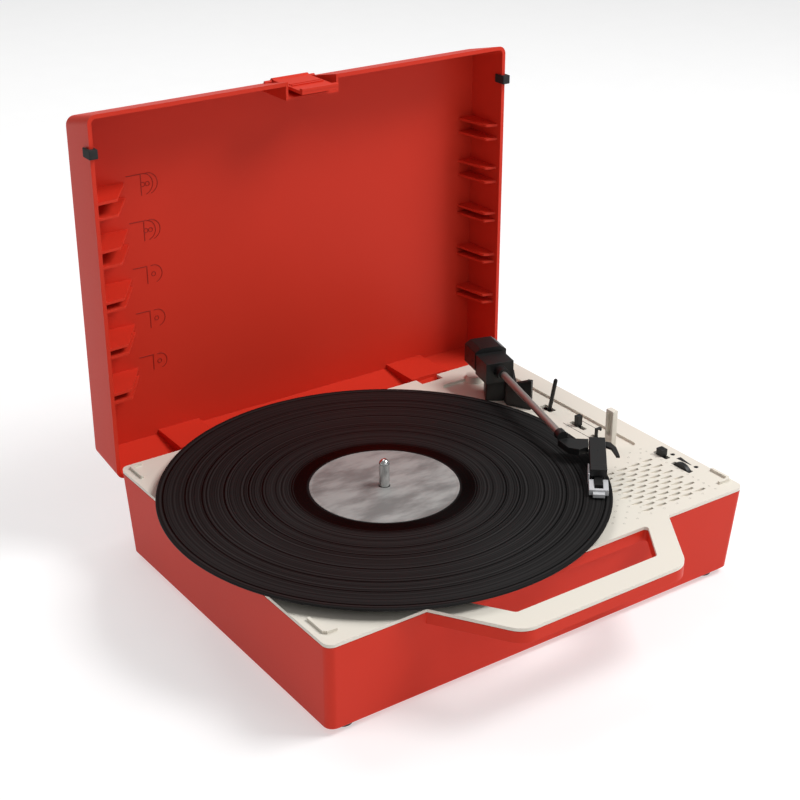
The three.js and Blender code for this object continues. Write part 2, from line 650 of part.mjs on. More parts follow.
add(
  "motor_pulley",
  join(
    rod(0, 0, -8, BELT.low - 0.5, PULLEY_RADIUS + 1.2, 20),
    rod(0, 0, -7.5, -1.6, PULLEY_RADIUS, 20),
    rod(0, 0, BELT.high + 0.4, -1.2, PULLEY_RADIUS + 1.2, 20),
    rod(0, 0, MOUNT_UNDER, -7, 1.6, 16),
  ),
  BRASS,
  motor,
);

// ---------------------------------------------------------------- loudspeaker
const speaker = subgroup(deck, SPEAKER_X, SPEAKER_Y, -DECK_THICKNESS - GAP);
const BASKET_PROFILE = [
  [9, -16],
  [17, -16],
  [25.6, -2],
  [SPEAKER_RADIUS, -2],
  [SPEAKER_RADIUS, 0],
  [25, 0],
  [24.6, -1.8],
  [16, -14.8],
  [9, -14.8],
  [9, -16],
];
const CONE_PROFILE = [
  [0, -14.2],
  [7.6, -14.2],
  [7.6, -13.2],
  [22.9, -2],
  [23.7, -1.4],
  [23.7, -0.6],
  [22.9, -0.8],
  [7.5, -11.8],
  [5, -9.4],
  [0, -8.2],
];
add("speaker_frame", turned(BASKET_PROFILE, 28), STEEL, speaker);
add("speaker_cone", turned(CONE_PROFILE, 28), CONE_PAPER, speaker);
add("speaker_magnet", rod(0, 0, -27, -16 - GAP, 17, 24), STEEL, speaker);

// ---------------------------------------------------------------- circuit board and sockets
const boardSlab = box(BOARD.x0, BOARD.x1, BOARD.y0, BOARD.y1, BOARD.top - BOARD.thickness, BOARD.top);
add("circuit_board", boardSlab, CIRCUIT_BOARD);

// A socket's body, with a foot that stands on the circuit board.
function socketFoot(halfWidth) {
  return box(-halfWidth, halfWidth, -16, -12, BOARD.top + GAP - JACK_Z, 0);
}
const socketAt = (x) => subgroup(deck, x, JACK_FACE, JACK_Z);
const dcBody = join(box(-4.5, 4.5, -16, 0, -4.5, 4.5), socketFoot(4.5));
add("dc_jack", cut(dcBody, pipe(0, -9, 1, 0, 3.1, 20)), BLACK_ABS, socketAt(DC_JACK_X));
RCA_JACKS_X.forEach((x, i) => {
  const body = join(pipe(0, -16, 5, 0, 4.1, 20), pipe(0, -2, -0.4, 0, 5, 20), socketFoot(3.6));
  const name = `rca_jack_${i === 0 ? "left" : "right"}`;
  add(name, cut(body, pipe(0, -6, 6, 0, 1.8, 12)), i === 0 ? GREY_ABS : RED_ABS, socketAt(x));
});
const headphoneBody = join(pipe(0, -16, 0, 0, 4, 20), socketFoot(3.4));
const headphoneJack = cut(headphoneBody, pipe(0, -12, 1, 0, 1.9, 16));
add("headphone_jack", headphoneJack, BLACK_ABS, socketAt(HEADPHONE_JACK_X));

// ---------------------------------------------------------------- controls
const BAY_UNDER = -BAY.depth - DECK_THICKNESS;
const BAY_FLOOR = -BAY.depth + GAP;

const cue = subgroup(deck, CUE.x, CUE.y, CUE.axis, CUE.lean);
const cueLength = CUE.top - CUE.axis;
add(
  "cue_lever",
  join(
    rod(0, 0, 0, cueLength - 1, CUE.radius, 16),
    rod(0, 0, cueLength - 1, cueLength, CUE.radius, 16, CUE.radius * 0.6),
    axle(-2.6, 2.6, 0, 0, 2.2, 20),
  ),
  BLACK_ABS,
  cue,
);
add(
  "speed_selector",
  join(
    box(-2.3, 2.3, -1.9, 1.9, BAY_FLOOR + 0.1, SPEED.top),
    box(-1.5, 1.5, -1.5, 1.5, -6, 0),
    box(-4.5, 4.5, -4, 4, -7, BAY_UNDER - GAP),
  ),
  BLACK_ABS,
  subgroup(deck, SPEED.x, SPEED.y, 0),
);
add(
  "auto_stop_switch",
  join(
    box(-0.9, 0.9, -1.1, 1.1, -6, AUTO_STOP.top),
    box(-0.9, 4.2, -1.1, 1.1, AUTO_STOP.top - 1.3, AUTO_STOP.top),
    box(2.9, 4.2, -1.1, 1.1, AUTO_STOP.top - 2.6, AUTO_STOP.top),
    box(-3, 3, -3, 3, -7, BAY_UNDER - GAP),
  ),
  BLACK_ABS,
  subgroup(deck, AUTO_STOP.x, AUTO_STOP.y, 0),
);
add(
  "mode_switch",
  join(
    box(-2.6, 2.6, -3, 3, GAP, MODE.top),
    box(-1.6, 1.6, -3, 3, -5, 1),
    box(-3.4, 3.4, -4.4, 4.4, -5.6, -DECK_THICKNESS - GAP),
  ),
  BLACK_ABS,
  subgroup(deck, MODE.x, MODE.y, 0),
);
const volumeWheel = axle(-VOLUME.half, VOLUME.half, 0, 0, VOLUME.radius, 36);
const volumeShaft = axle(-6, 6, 0, 0, 1.5, 16);
const volume = subgroup(deck, VOLUME.x, VOLUME.y, VOLUME.rise - VOLUME.radius);
add("volume_wheel", join(volumeWheel, volumeShaft), BLACK_ABS, volume);
["power", "pairing"].forEach((name, i) => {
  const lens = rod(0, 0, -5, -0.1, LED_RADIUS, 16);
  const collar = rod(0, 0, -6, -DECK_THICKNESS - GAP, LED_RADIUS + 0.7, 16);
  add(`led_${name}`, join(lens, collar), RED_LENS, subgroup(deck, LEDS[i][0], LEDS[i][1], 0));
});

const postBody = box(REST_POST.x0, REST_POST.x1, REST_POST.y0, REST_POST.y1, BAY_FLOOR, REST_POST.top);
const postHollow = box(
  REST_POST.x0 - 1,
  REST_POST.x0 + 2.6,
  REST_POST.y0 + 1.6,
  REST_POST.y1 - 1.6,
  8,
  REST_POST.top - 2.6,
);
add("arm_rest_post", cut(postBody, postHollow), CREAM_ABS);

// ---------------------------------------------------------------- tonearm
const armMount = subgroup(deck, ARM_X, ARM_Y, 0, 0, -ARM_MOUNT_TURN);
// The base's right end is a low wall that rises away from the pivot.
const wing = slab(
  outline([[8, -4], [10.2, -13.3], [27, -21.8], [28.4, -19.2], [17.3, -9.5], [17.3, -4]]),
  BAY_FLOOR,
  ARM_BASE_TOP,
);
const wingRise = cut(
  slab(outline([[11.2, -13.8], [27, -21.8], [28.4, -19.2], [12.6, -11.2]]), ARM_BASE_TOP - 1, 21.5),
  plateAcrossY([[5, ARM_BASE_TOP + 0.2], [12, ARM_BASE_TOP + 0.2], [25, 21], [25, 30], [5, 30]], -30, 0),
);
const armBaseBody = join(
  slab(rectangle(-5.3, 17.3, -5.3, 14.7, 1.5), BAY_FLOOR, ARM_BASE_TOP),
  wing,
  wingRise,
);
const armBaseHoles = [
  rod(0, 0, -6, 20, 3.9, 20),
  ...ARM_SCREWS.map(([x, y]) => rod(x, y, -6, 8, 1.4, 12)),
];
const armBase = cut(armBaseBody, ...armBaseHoles);
add("arm_base", armBase, BLACK_ABS, armMount);
add(
  "arm_bearing",
  ring(SWIVEL_RADIUS + RUNNING_FIT, 3.6, -10, ARM_BASE_TOP + 0.4, 24),
  BRASS,
  armMount,
);
["front", "rear"].forEach((name, i) => {
  const head = rod(0, 0, BAY_UNDER - 2, BAY_UNDER - GAP, 2.6, 16);
  const shank = rod(0, 0, BAY_UNDER - 1, 7, 1.1, 12);
  add(`arm_screw_${name}`, join(head, shank), STEEL, subgroup(armMount, ...ARM_SCREWS[i], 0));
});

const arm = subgroup(deck, ARM_X, ARM_Y, 0, 0, -ARM_TURN);
const swivelPost = rod(0, 0, -13, ARM_BASE_TOP + 2, SWIVEL_RADIUS, 24);
const swivelHead = box(-4, 4, -2.6, 2.6, ARM_BASE_TOP + 1, ARM_AXIS_Z + 2.4);
add(
  "arm_swivel",
  cut(join(swivelPost, swivelHead), axle(-6, 6, 0, ARM_AXIS_Z, TILT_PIN_RADIUS + 0.15)),
  STEEL,
  arm,
);
add("arm_tilt_pin", axle(-9.5, 9.5, 0, ARM_AXIS_Z, TILT_PIN_RADIUS), STEEL, arm);

const { half: blockHalf, front: blockFront, back: blockBack, low: blockLow, high: blockHigh } = ARM_BLOCK;
const blockBody = join(
  box(-blockHalf, blockHalf, blockFront, blockBack, blockLow, blockHigh),
  pipe(0, blockFront - 7, blockFront + 1, ARM_AXIS_Z, 4.8, 16, ARM_PITCH),
);
add(
  "arm_block",
  cut(
    blockBody,
    box(-5.4, 5.4, -5, 5.8, blockLow - 1, ARM_AXIS_Z + 3.6),
    axle(-10, 10, 0, ARM_AXIS_Z, TILT_PIN_RADIUS + RUNNING_FIT),
    pipe(0, -40, -9, ARM_AXIS_Z, TUBE_RADIUS + 0.35, 16, ARM_PITCH),
  ),
  BLACK_ABS,
  arm,
);
const WEIGHT_OUTLINE = [
  [-11.5, 19, 1],
  [14, 19, 1],
  [14, 33.5, 1],
  [9.5, 36.5, 1],
  [-7, 36.5, 1],
  [-11.5, 33.5, 1],
];
add("counterweight", plateAcrossY(WEIGHT_OUTLINE, blockBack + GAP, blockBack + 20), BLACK_ABS, arm);

const tube = subgroup(arm, 0, 0, ARM_AXIS_Z, ARM_PITCH);
add("arm_tube", pipe(0, -TUBE_END, -9.6, 0, TUBE_RADIUS, 16), GUNMETAL, tube);

const HEAD_UNDER = HEAD.top - HEAD.depth;
const connectorOutline = outline([
  [-3.2, -118],
  [-1.5, -131.5],
  [4, -136.4],
  [11.7, -135],
  [17, -124.4],
  [7.5, -120.2],
  [3.2, -118],
]);
const connectorBody = join(
  slab(connectorOutline, HEAD_UNDER, HEAD.top - 0.6),
  pipe(0, -TUBE_END - 6, -TUBE_END - GAP, ARM_AXIS_Z, 4, 16, ARM_PITCH),
  box(-1.2, 1.2, -TUBE_END - 4.5, -TUBE_END - 2.5, HEAD_UNDER, HEAD_UNDER + 5),
);
add("headshell_connector", connectorBody, BLACK_ABS, arm);

const head = subgroup(arm, HEAD.x, HEAD.y, 0, 0, -HEAD.turn);
const headHalf = HEAD.width / 2;
const headshellShell = cut(
  box(-headHalf, headHalf, -HEAD.length, 0, HEAD_UNDER, HEAD.top),
  box(-headHalf + 1.2, headHalf - 1.2, -HEAD.length + 1.2, -20, HEAD_UNDER - 1, HEAD.top - 1.4),
);
add("headshell", headshellShell, BLACK_ABS, head);
const fingerOutline = outline([
  [headHalf + GAP, -1],
  [headHalf + GAP, -8],
  [9.5, -11],
  [12.6, -22],
  [15, -22],
  [13, -9],
  [9.5, -2],
]);
add("finger_lift", slab(fingerOutline, HEAD.top - 4.4, HEAD.top - 2.6), BLACK_ABS, head);
add(
  "cartridge",
  join(box(-4, 4, -46, -26, 12.2, HEAD.top - 1.8), box(-2.6, 2.6, -58.5, -45.8, 11.4, HEAD_UNDER - GAP)),
  BLACK_ABS,
  head,
);
const stylusArm = box(-1.6, 1.6, -59, -48, 10.3, 11.1);
const stylusTip = box(-0.5, 0.5, -59.6, -58.6, 9.4, 10.8);
add("stylus", join(stylusArm, stylusTip), STEEL, head);
const guardBody = join(
  box(-6.4, 6.4, -63.5, -48.6, 9, 13),
  box(-3.9, 3.9, -67, -63, 9, 11.6),
  box(-6.9, -5.9, -49, -34, 9.6, 17),
);
const guardHollow = box(-2.9, 2.9, -61, -40, 8, 16);
add("stylus_guard", cut(guardBody, guardHollow), GREY_ABS, head);

// ---------------------------------------------------------------- lid
// The lid stands open by a right angle. Inside its group it is laid out as if it were closed.
const lidHinge = subgroup(deck, 0, HINGE_Y, HINGE_Z, -90);
const lid = subgroup(lidHinge, 0, -HINGE_Y, -HINGE_Z);

function lidShell() {
  const { x0, x1, y0, y1, rim, top } = LID;
  const w = LID_WALL;
  const edge = LID_ROUND * 0.6;
  const [side, front, back] = [LID_LEAN_SIDE, LID_LEAN_FRONT, LID_LEAN_BACK];
  const outside = leaningBlock(x0, x1, y0, y1, LID_CORNER, [
    { z: rim, side: 0, front: 0, back: 0 },
    { z: top - LID_ROUND, side, front, back },
    { z: top, side: side + edge, front: front + edge, back: back + edge },
  ]);
  const inside = leaningBlock(x0 + w, x1 - w, y0 + w, y1 - w, LID_CORNER - w, [
    { z: rim, side: 0, front: 0, back: 0 },
    { z: top - w, side, front, back },
  ]);
  const pocket = LATCH_POCKET;
  const [pocketLeft, pocketRight] = [pocket.x0 - pocket.wall, pocket.x1 + pocket.wall];
  const pocketBlock = box(pocketLeft, pocketRight, 0, pocket.back + pocket.wall, rim, top - 1);
  const hingeBoxes = HINGE_BOXES.map(([from, to]) => box(from, to, HINGE_BOX_FRONT, y1, rim, top - 1));
  const mouth = box(x0 + w + 3, x1 - w - 3, y0 + w + 3, y1 - w - 3, rim - 1, rim + 1);
  const hollow = cut(outside, inside.add(mouth));
  const linings = [pocketBlock, ...hingeBoxes].map((lining) => outside.intersect(lining));
  const knuckles = HINGE_CENTRES.flatMap((x) => {
    const [left, right] = [x - KNUCKLE_WIDTH / 2, x + KNUCKLE_WIDTH / 2];
    return [
      axle(left, right, HINGE_Y, HINGE_Z, KNUCKLE_RADIUS),
      box(left, right, HINGE_Y - KNUCKLE_RADIUS, y1, HINGE_Z, rim + 2),
    ];
  });
  const leftRib = [[x0 + 1.5, 4.5], [18.5, 6, 2], [38.5, top - 2], [x0 + 1.5, top - 2]];
  const rightRib = [[x1 - 1.5, 3.5], [x1 - 1.5, top - 2], [317.5, top - 2], [321.8, 7, 2]].reverse();
  const ribs = RIB_BACKS.flatMap((y) => [
    plateAcrossY(leftRib, y - RIB_THICKNESS, y),
    plateAcrossY(rightRib, y - RIB_THICKNESS, y),
  ]);
  return cut(
    join(hollow, ...linings, ...knuckles, ...ribs),
    box(pocket.x0, pocket.x1, -5, pocket.back, -5, pocket.top),
    axle(pocket.x0 - 1.4, pocket.x1 + 1.4, LATCH.y, LATCH.z, LATCH_PIN_RADIUS + 0.2, 20),
    ...HINGE_CENTRES.map((x) => axle(x - 20, x + 20, HINGE_Y, HINGE_Z, HINGE_PIN_RADIUS + RUNNING_FIT)),
  );
}
add("lid_shell", lidShell(), RED_ABS, lid);
["left", "right"].forEach((name, i) => {
  const x = HINGE_CENTRES[i];
  const pin = axle(-HINGE_PIN_HALF, HINGE_PIN_HALF, 0, 0, HINGE_PIN_RADIUS);
  add(`hinge_pin_${name}`, pin, STEEL, subgroup(deck, x, HINGE_Y, HINGE_Z));
});

// The latch hangs from its pin in the pocket, and its lip hooks under the deck when the lid is shut.
const latch = subgroup(lid, 0, LATCH.y, LATCH.z);
const [flapFront, flapBack, flapTip] = [LATCH.front - LATCH.y, LATCH.back - LATCH.y, LATCH.tip - LATCH.z];
const flap = box(LATCH.x0, LATCH.x1, flapFront, flapBack, flapTip, 0);
const lip = box(LATCH.x0, LATCH.x1, flapFront - 1.6, flapFront + 0.2, flapTip - 0.2, flapTip + 3.2);
const ridges = [-24, -20.6].map((z) =>
  box(LATCH.x0 + 2, LATCH.x1 - 2, flapFront - 0.8, flapFront + 0.2, z, z + 1.6),
);
const barrel = axle(LATCH.x0, LATCH.x1, 0, 0, LATCH.barrel, 20);
const barrelBore = axle(LATCH.x0 - 1, LATCH.x1 + 1, 0, 0, LATCH_PIN_RADIUS + RUNNING_FIT, 20);
add("latch", cut(join(flap, lip, barrel, ...ridges), barrelBore), RED_ABS, latch);
add(
  "latch_pin",
  axle(LATCH_POCKET.x0 - 1.1, LATCH_POCKET.x1 + 1.1, 0, 0, LATCH_PIN_RADIUS, 20),
  RED_ABS,
  latch,
);

// A rubber clip straddles each side wall near the lid's front.
function bumper(outer, inner, wallOuter, wallInner) {
  const order = (a, b) => [Math.min(a, b), Math.max(a, b)];
  const body = box(...order(outer, inner), BUMPER.y0, BUMPER.y1, BUMPER.z0, BUMPER.z1);
  const [wallFront, wallBack] = [BUMPER.y0 - 1, BUMPER.y1 + 1];
  const wall = box(...order(wallOuter, wallInner), wallFront, wallBack, LID.rim - GAP, BUMPER.z1 + 1);
  return cut(body, wall);
}
const WALL_SLOT = LID_WALL + 2 * GAP;
add(
  "bumper_left",
  bumper(LID.x0 - BUMPER.outside, LID.x0 + BUMPER.inside, LID.x0 - GAP, LID.x0 - GAP + WALL_SLOT),
  RUBBER,
  lid,
);
add(
  "bumper_right",
  bumper(LID.x1 + BUMPER.outside, LID.x1 - BUMPER.inside, LID.x1 + GAP, LID.x1 + GAP - WALL_SLOT),
  RUBBER,
  lid,
);

export default player;
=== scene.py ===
"""The finished look of a suitcase record player: moulded red case, cream deck, record and tonearm."""

import json
import math

import bmesh
import bpy
from mathutils import Matrix, Vector


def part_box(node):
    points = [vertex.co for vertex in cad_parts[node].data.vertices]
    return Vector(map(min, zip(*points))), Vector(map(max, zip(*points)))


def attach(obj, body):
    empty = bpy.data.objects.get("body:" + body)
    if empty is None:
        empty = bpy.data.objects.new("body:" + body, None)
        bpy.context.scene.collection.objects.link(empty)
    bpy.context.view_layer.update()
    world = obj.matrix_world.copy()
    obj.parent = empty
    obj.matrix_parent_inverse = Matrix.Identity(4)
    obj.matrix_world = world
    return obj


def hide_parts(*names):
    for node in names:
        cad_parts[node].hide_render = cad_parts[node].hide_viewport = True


bl_info = {
    "name": "Suitcase Record Player",
    "version": (1, 0, 0),
    "blender": (4, 5, 0),
    "location": "View3D > Sidebar > Record Player",
    "description": "Finishes the parts of a suitcase record player and sets them on a studio floor",
    "category": "Object",
}

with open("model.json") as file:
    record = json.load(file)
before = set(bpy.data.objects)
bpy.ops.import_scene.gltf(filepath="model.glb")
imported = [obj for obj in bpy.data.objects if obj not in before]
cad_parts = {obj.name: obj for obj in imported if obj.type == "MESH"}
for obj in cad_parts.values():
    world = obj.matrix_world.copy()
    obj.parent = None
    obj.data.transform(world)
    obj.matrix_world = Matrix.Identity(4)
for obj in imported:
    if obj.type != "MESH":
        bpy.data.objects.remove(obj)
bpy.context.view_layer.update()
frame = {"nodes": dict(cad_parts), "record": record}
MM = 0.001

# ---------------------------------------------------------------- places taken from the frame
DECK_LOW, DECK_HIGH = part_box("deck_plate")
RECORD_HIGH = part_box("record")[1]
SPINDLE_LOW, SPINDLE_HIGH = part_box("spindle")
LID_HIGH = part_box("lid_shell")[1]
SPINDLE = Vector(((SPINDLE_LOW.x + SPINDLE_HIGH.x) / 2, (SPINDLE_LOW.y + SPINDLE_HIGH.y) / 2, 0.0))
RECORD_TOP = 8.0
DECK_DEPTH = 265.0
LID_WALL = 2.8
DECK_TOP = RECORD_HIGH.z - RECORD_TOP * MM
DECK_LEFT = DECK_LOW.x
DECK_FRONT = DECK_HIGH.y - DECK_DEPTH * MM
LID_PANEL = (LID_HIGH.y - DECK_FRONT) / MM - LID_WALL


def on_deck(x, y, z=0.0):
    """A point given in millimetres from the deck's front left corner and its top face."""
    return Vector((DECK_LEFT + x * MM, DECK_FRONT + y * MM, DECK_TOP + z * MM))


# ---------------------------------------------------------------- settings a user would change
class PlayerColours(bpy.types.PropertyGroup):
    """Colours of the moulded and printed parts, as sRGB hex values."""

    red: bpy.props.StringProperty(name="Case red", description="Case and lid", default="D33726")
    cream: bpy.props.StringProperty(
        name="Deck cream", description="Deck and handle face", default="E4DED2"
    )
    black: bpy.props.StringProperty(name="Black", description="Tonearm and controls", default="1B1B1B")
    grey: bpy.props.StringProperty(name="Guard grey", description="Stylus guard", default="C4C5C7")
    label: bpy.props.StringProperty(name="Label grey", description="Paper label", default="8E8E8C")


class PlayerSizes(bpy.types.PropertyGroup):
    """Sizes of the finish that the mould and the press leave."""

    case_edge: bpy.props.FloatProperty(
        name="Case edge",
        description="Radius on the case's edges",
        default=1.0 * MM,
        subtype="DISTANCE",
        unit="LENGTH",
    )
    deck_edge: bpy.props.FloatProperty(
        name="Deck edge",
        description="Radius on the deck's edges",
        default=0.35 * MM,
        subtype="DISTANCE",
        unit="LENGTH",
    )
    arm_edge: bpy.props.FloatProperty(
        name="Tonearm edge",
        description="Radius on the tonearm's edges",
        default=0.5 * MM,
        subtype="DISTANCE",
        unit="LENGTH",
    )
    groove: bpy.props.FloatProperty(
        name="Groove pitch",
        description="Distance between drawn grooves",
        default=1.3 * MM,
        subtype="DISTANCE",
        unit="LENGTH",
    )
    turns: bpy.props.IntProperty(
        name="Turn steps", description="Steps round a turned part", default=192, min=24
    )


# ---------------------------------------------------------------- material helpers
def linear(hex_colour):
    """An sRGB hex value as the linear colour that a shader takes."""
    channels = [int(hex_colour[i : i + 2], 16) / 255 for i in (0, 2, 4)]
    return [c / 12.92 if c <= 0.04045 else ((c + 0.055) / 1.055) ** 2.4 for c in channels] + [1.0]


def add_node(tree, kind, settings=None, inputs=None):
    """Adds a node. Settings are its attributes, and an input is a value or the socket that feeds it."""
    node = tree.nodes.new(kind)
    for key, value in (settings or {}).items():
        setattr(node, key, value)
    for key, value in (inputs or {}).items():
        if isinstance(value, bpy.types.NodeSocket):
            tree.links.new(value, node.inputs[key])
        else:
            node.inputs[key].default_value = value
    return node


def start_material(name):
    """A new material with its node tree, its shader and the object coordinates."""
    material = bpy.data.materials.new(name)
    material.use_nodes = True
    tree = material.node_tree
    shader = tree.nodes["Principled BSDF"]
    place = add_node(tree, "ShaderNodeTexCoord").outputs["Object"]
    return material, tree, shader, place


GRAIN_SIZE = 1.1 * MM
GRAIN_DEPTH = 0.018 * MM
GLOSS_SPREAD = 0.06


def moulded_abs(name, colour, roughness, variation=0.06, index=1.3):
    """ABS from a spark-eroded mould: an even satin with a fine grain that softens its highlights.

    The real grain is about 0.2 mm, too fine to show, so it is drawn several times coarser and shallow.
    The grain scatters most of the mirror reflection, so the index is set below the resin's own 1.52.
    """
    material, tree, shader, place = start_material(name)
    base = linear(colour)
    dark = [c * (1 - variation) for c in base[:3]] + [1.0]
    broad = {"Vector": place, "Scale": 1 / (60 * MM), "Detail": 2.0}
    cloud = add_node(tree, "ShaderNodeTexNoise", inputs=broad)
    tint = add_node(tree, "ShaderNodeMix", {"data_type": "RGBA"}, {"Factor": cloud.outputs["Fac"]})
    tint.inputs[6].default_value = base
    tint.inputs[7].default_value = dark
    tree.links.new(tint.outputs[2], shader.inputs["Base Color"])
    close = {"Vector": place, "Scale": 1 / GRAIN_SIZE, "Detail": 3.0}
    fine = add_node(tree, "ShaderNodeTexNoise", inputs=close)
    spread = add_node(
        tree,
        "ShaderNodeMapRange",
        inputs={
            "Value": fine.outputs["Fac"],
            "To Min": roughness - GLOSS_SPREAD,
            "To Max": roughness + GLOSS_SPREAD,
        },
    )
    tree.links.new(spread.outputs["Result"], shader.inputs["Roughness"])
    relief = {"Height": fine.outputs["Fac"], "Strength": 0.35, "Distance": GRAIN_DEPTH}
    bump = add_node(tree, "ShaderNodeBump", inputs=relief)
    tree.links.new(bump.outputs["Normal"], shader.inputs["Normal"])
    shader.inputs["IOR"].default_value = index
    return material


def radius_from_spindle(tree, place):
    """The distance in metres from the spindle's axis, as a socket."""
    centred = add_node(tree, "ShaderNodeVectorMath", {"operation": "SUBTRACT"})
    tree.links.new(place, centred.inputs[0])
    centred.inputs[1].default_value = SPINDLE
    flat = add_node(tree, "ShaderNodeVectorMath", {"operation": "MULTIPLY"})
    tree.links.new(centred.outputs[0], flat.inputs[0])
    flat.inputs[1].default_value = (1.0, 1.0, 0.0)
    length = add_node(tree, "ShaderNodeVectorMath", {"operation": "LENGTH"})
    tree.links.new(flat.outputs[0], length.inputs[0])
    return length.outputs["Value"]


def plain_rings(tree, radius):
    """One on the smooth gaps between the tracks and on the run-out beside the label, else nought."""
    places = [(gap * MM, GAP_HALF * MM) for gap in TRACK_GAPS] + [(RUN_OUT * MM, RUN_OUT_HALF * MM)]
    total = None
    for place, half in places:
        inside = {0: radius, 1: place, 2: half}
        band = add_node(tree, "ShaderNodeMath", {"operation": "COMPARE"}, inside)
        if total is not None:
            either = {0: band.outputs[0], 1: total}
            band = add_node(tree, "ShaderNodeMath", {"operation": "MAXIMUM"}, either)
        total = band.outputs[0]
    return total


def pressed_vinyl(name, pitch):
    """Pressed PVC record: near black, with lighter rings painted into its colour as the sheen that the
    grooves catch.

    Real grooves are about 0.1 mm apart, too fine to show, so they are drawn many times coarser.
    They scatter most of the mirror reflection, so the index is set well below the resin's own.
    """
    material, tree, shader, place = start_material(name)
    radius = radius_from_spindle(tree, place)
    steps = add_node(tree, "ShaderNodeMath", {"operation": "DIVIDE"}, {0: radius, 1: pitch})
    along = {"W": steps.outputs[0], "Scale": 1.0, "Detail": 2.0}
    rings = add_node(tree, "ShaderNodeTexNoise", {"noise_dimensions": "1D"}, along)
    # Painted sheen: the grooved bands are coloured lighter in rings, standing for the light that the
    # grooves scatter; the smooth gaps and run-out stay near black.
    tone = add_node(tree, "ShaderNodeValToRGB", inputs={"Fac": rings.outputs["Fac"]})
    tone.color_ramp.elements[0].position = 0.35
    tone.color_ramp.elements[0].color = linear("111010")
    tone.color_ramp.elements[1].position = 0.68
    tone.color_ramp.elements[1].color = linear("2D2C2C")
    plain = plain_rings(tree, radius)
    shade = add_node(tree, "ShaderNodeMix", {"data_type": "RGBA"}, {"Factor": plain})
    tree.links.new(tone.outputs["Color"], shade.inputs[6])
    shade.inputs[7].default_value = linear("020202")
    tree.links.new(shade.outputs[2], shader.inputs["Base Color"])
    gloss = add_node(tree, "ShaderNodeMapRange", inputs={"Value": plain, "To Min": 0.42, "To Max": 0.34})
    tree.links.new(gloss.outputs["Result"], shader.inputs["Roughness"])
    relief = {"Height": rings.outputs["Fac"], "Strength": 0.5, "Distance": 0.12 * MM}
    bump = add_node(tree, "ShaderNodeBump", inputs=relief)
    tree.links.new(bump.outputs["Normal"], shader.inputs["Normal"])
    tangent = add_node(tree, "ShaderNodeTangent", {"direction_type": "RADIAL", "axis": "Z"})
    tree.links.new(tangent.outputs["Tangent"], shader.inputs["Tangent"])
    shader.inputs["Anisotropic"].default_value = 0.8
    shader.inputs["IOR"].default_value = 1.14
    return material


def coated_paper(name, colour):
    """Coated label paper with a soft abstract wash: blotches a few shades apart under a dull sheen."""
    material, tree, shader, place = start_material(name)
    streaked = add_node(tree, "ShaderNodeMapping", inputs={"Vector": place})
    streaked.inputs["Rotation"].default_value = (0, 0, math.radians(25))
    streaked.inputs["Scale"].default_value = (1.0, 2.6, 1.0)
    blotches = {"Vector": streaked.outputs[0], "Scale": 1 / (34 * MM), "Detail": 7.0, "Roughness": 0.55}
    wash = add_node(tree, "ShaderNodeTexNoise", inputs=blotches)
    tone = add_node(tree, "ShaderNodeValToRGB", inputs={"Fac": wash.outputs["Fac"]})
    base = linear(colour)
    tone.color_ramp.interpolation = "B_SPLINE"
    tone.color_ramp.elements[0].position = 0.38
    tone.color_ramp.elements[0].color = [c * 0.62 for c in base[:3]] + [1.0]
    tone.color_ramp.elements[1].position = 0.62
    tone.color_ramp.elements[1].color = [min(1.0, c * 1.35) for c in base[:3]] + [1.0]
    middle = tone.color_ramp.elements.new(0.5)
    middle.color = base
    tree.links.new(tone.outputs["Color"], shader.inputs["Base Color"])
    shader.inputs["Roughness"].default_value = 0.5
    return material


TOOL_MARK = 0.5 * MM


def turned_metal(name, colour, roughness, metallic=1.0):
    """Turned and plated metal: fine tool marks make the gloss vary a little."""
    material, tree, shader, place = start_material(name)
    turning = {"Vector": place, "Scale": 1 / TOOL_MARK, "Detail": 2.0}
    marks = add_node(tree, "ShaderNodeTexNoise", inputs=turning)
    spread = add_node(
        tree,
        "ShaderNodeMapRange",
        inputs={"Value": marks.outputs["Fac"], "To Min": roughness * 0.8, "To Max": roughness * 1.3},
    )
    tree.links.new(spread.outputs["Result"], shader.inputs["Roughness"])
    shader.inputs["Base Color"].default_value = linear(colour)
    shader.inputs["Metallic"].default_value = metallic
    return material


def moulded_rubber(name, colour="141414", roughness=0.78):
    """Moulded rubber: dull and slightly cloudy, with a dusty bloom."""
    material, tree, shader, place = start_material(name)
    patches = {"Vector": place, "Scale": 1 / (3 * MM), "Detail": 4.0}
    cloud = add_node(tree, "ShaderNodeTexNoise", inputs=patches)
    tone = add_node(tree, "ShaderNodeValToRGB", inputs={"Fac": cloud.outputs["Fac"]})
    tone.color_ramp.elements[0].color = linear(colour)
    tone.color_ramp.elements[1].color = linear("262626")
    tree.links.new(tone.outputs["Color"], shader.inputs["Base Color"])
    relief = {"Height": cloud.outputs["Fac"], "Strength": 0.3, "Distance": 0.05 * MM}
    bump = add_node(tree, "ShaderNodeBump", inputs=relief)
    tree.links.new(bump.outputs["Normal"], shader.inputs["Normal"])
    shader.inputs["Roughness"].default_value = roughness
    return material


def solder_mask(name):
    """Circuit board, green solder mask over copper, with faint lighter tracks."""
    material, tree, shader, place = start_material(name)
    tracks = add_node(tree, "ShaderNodeTexBrick", inputs={"Vector": place, "Scale": 1 / (12 * MM)})
    tracks.inputs["Color1"].default_value = linear("24603A")
    tracks.inputs["Color2"].default_value = linear("1F5634")
    tracks.inputs["Mortar"].default_value = linear("3A7D50")
    tracks.inputs["Mortar Size"].default_value = 0.03
    tree.links.new(tracks.outputs["Color"], shader.inputs["Base Color"])
    shader.inputs["Roughness"].default_value = 0.35
    return material


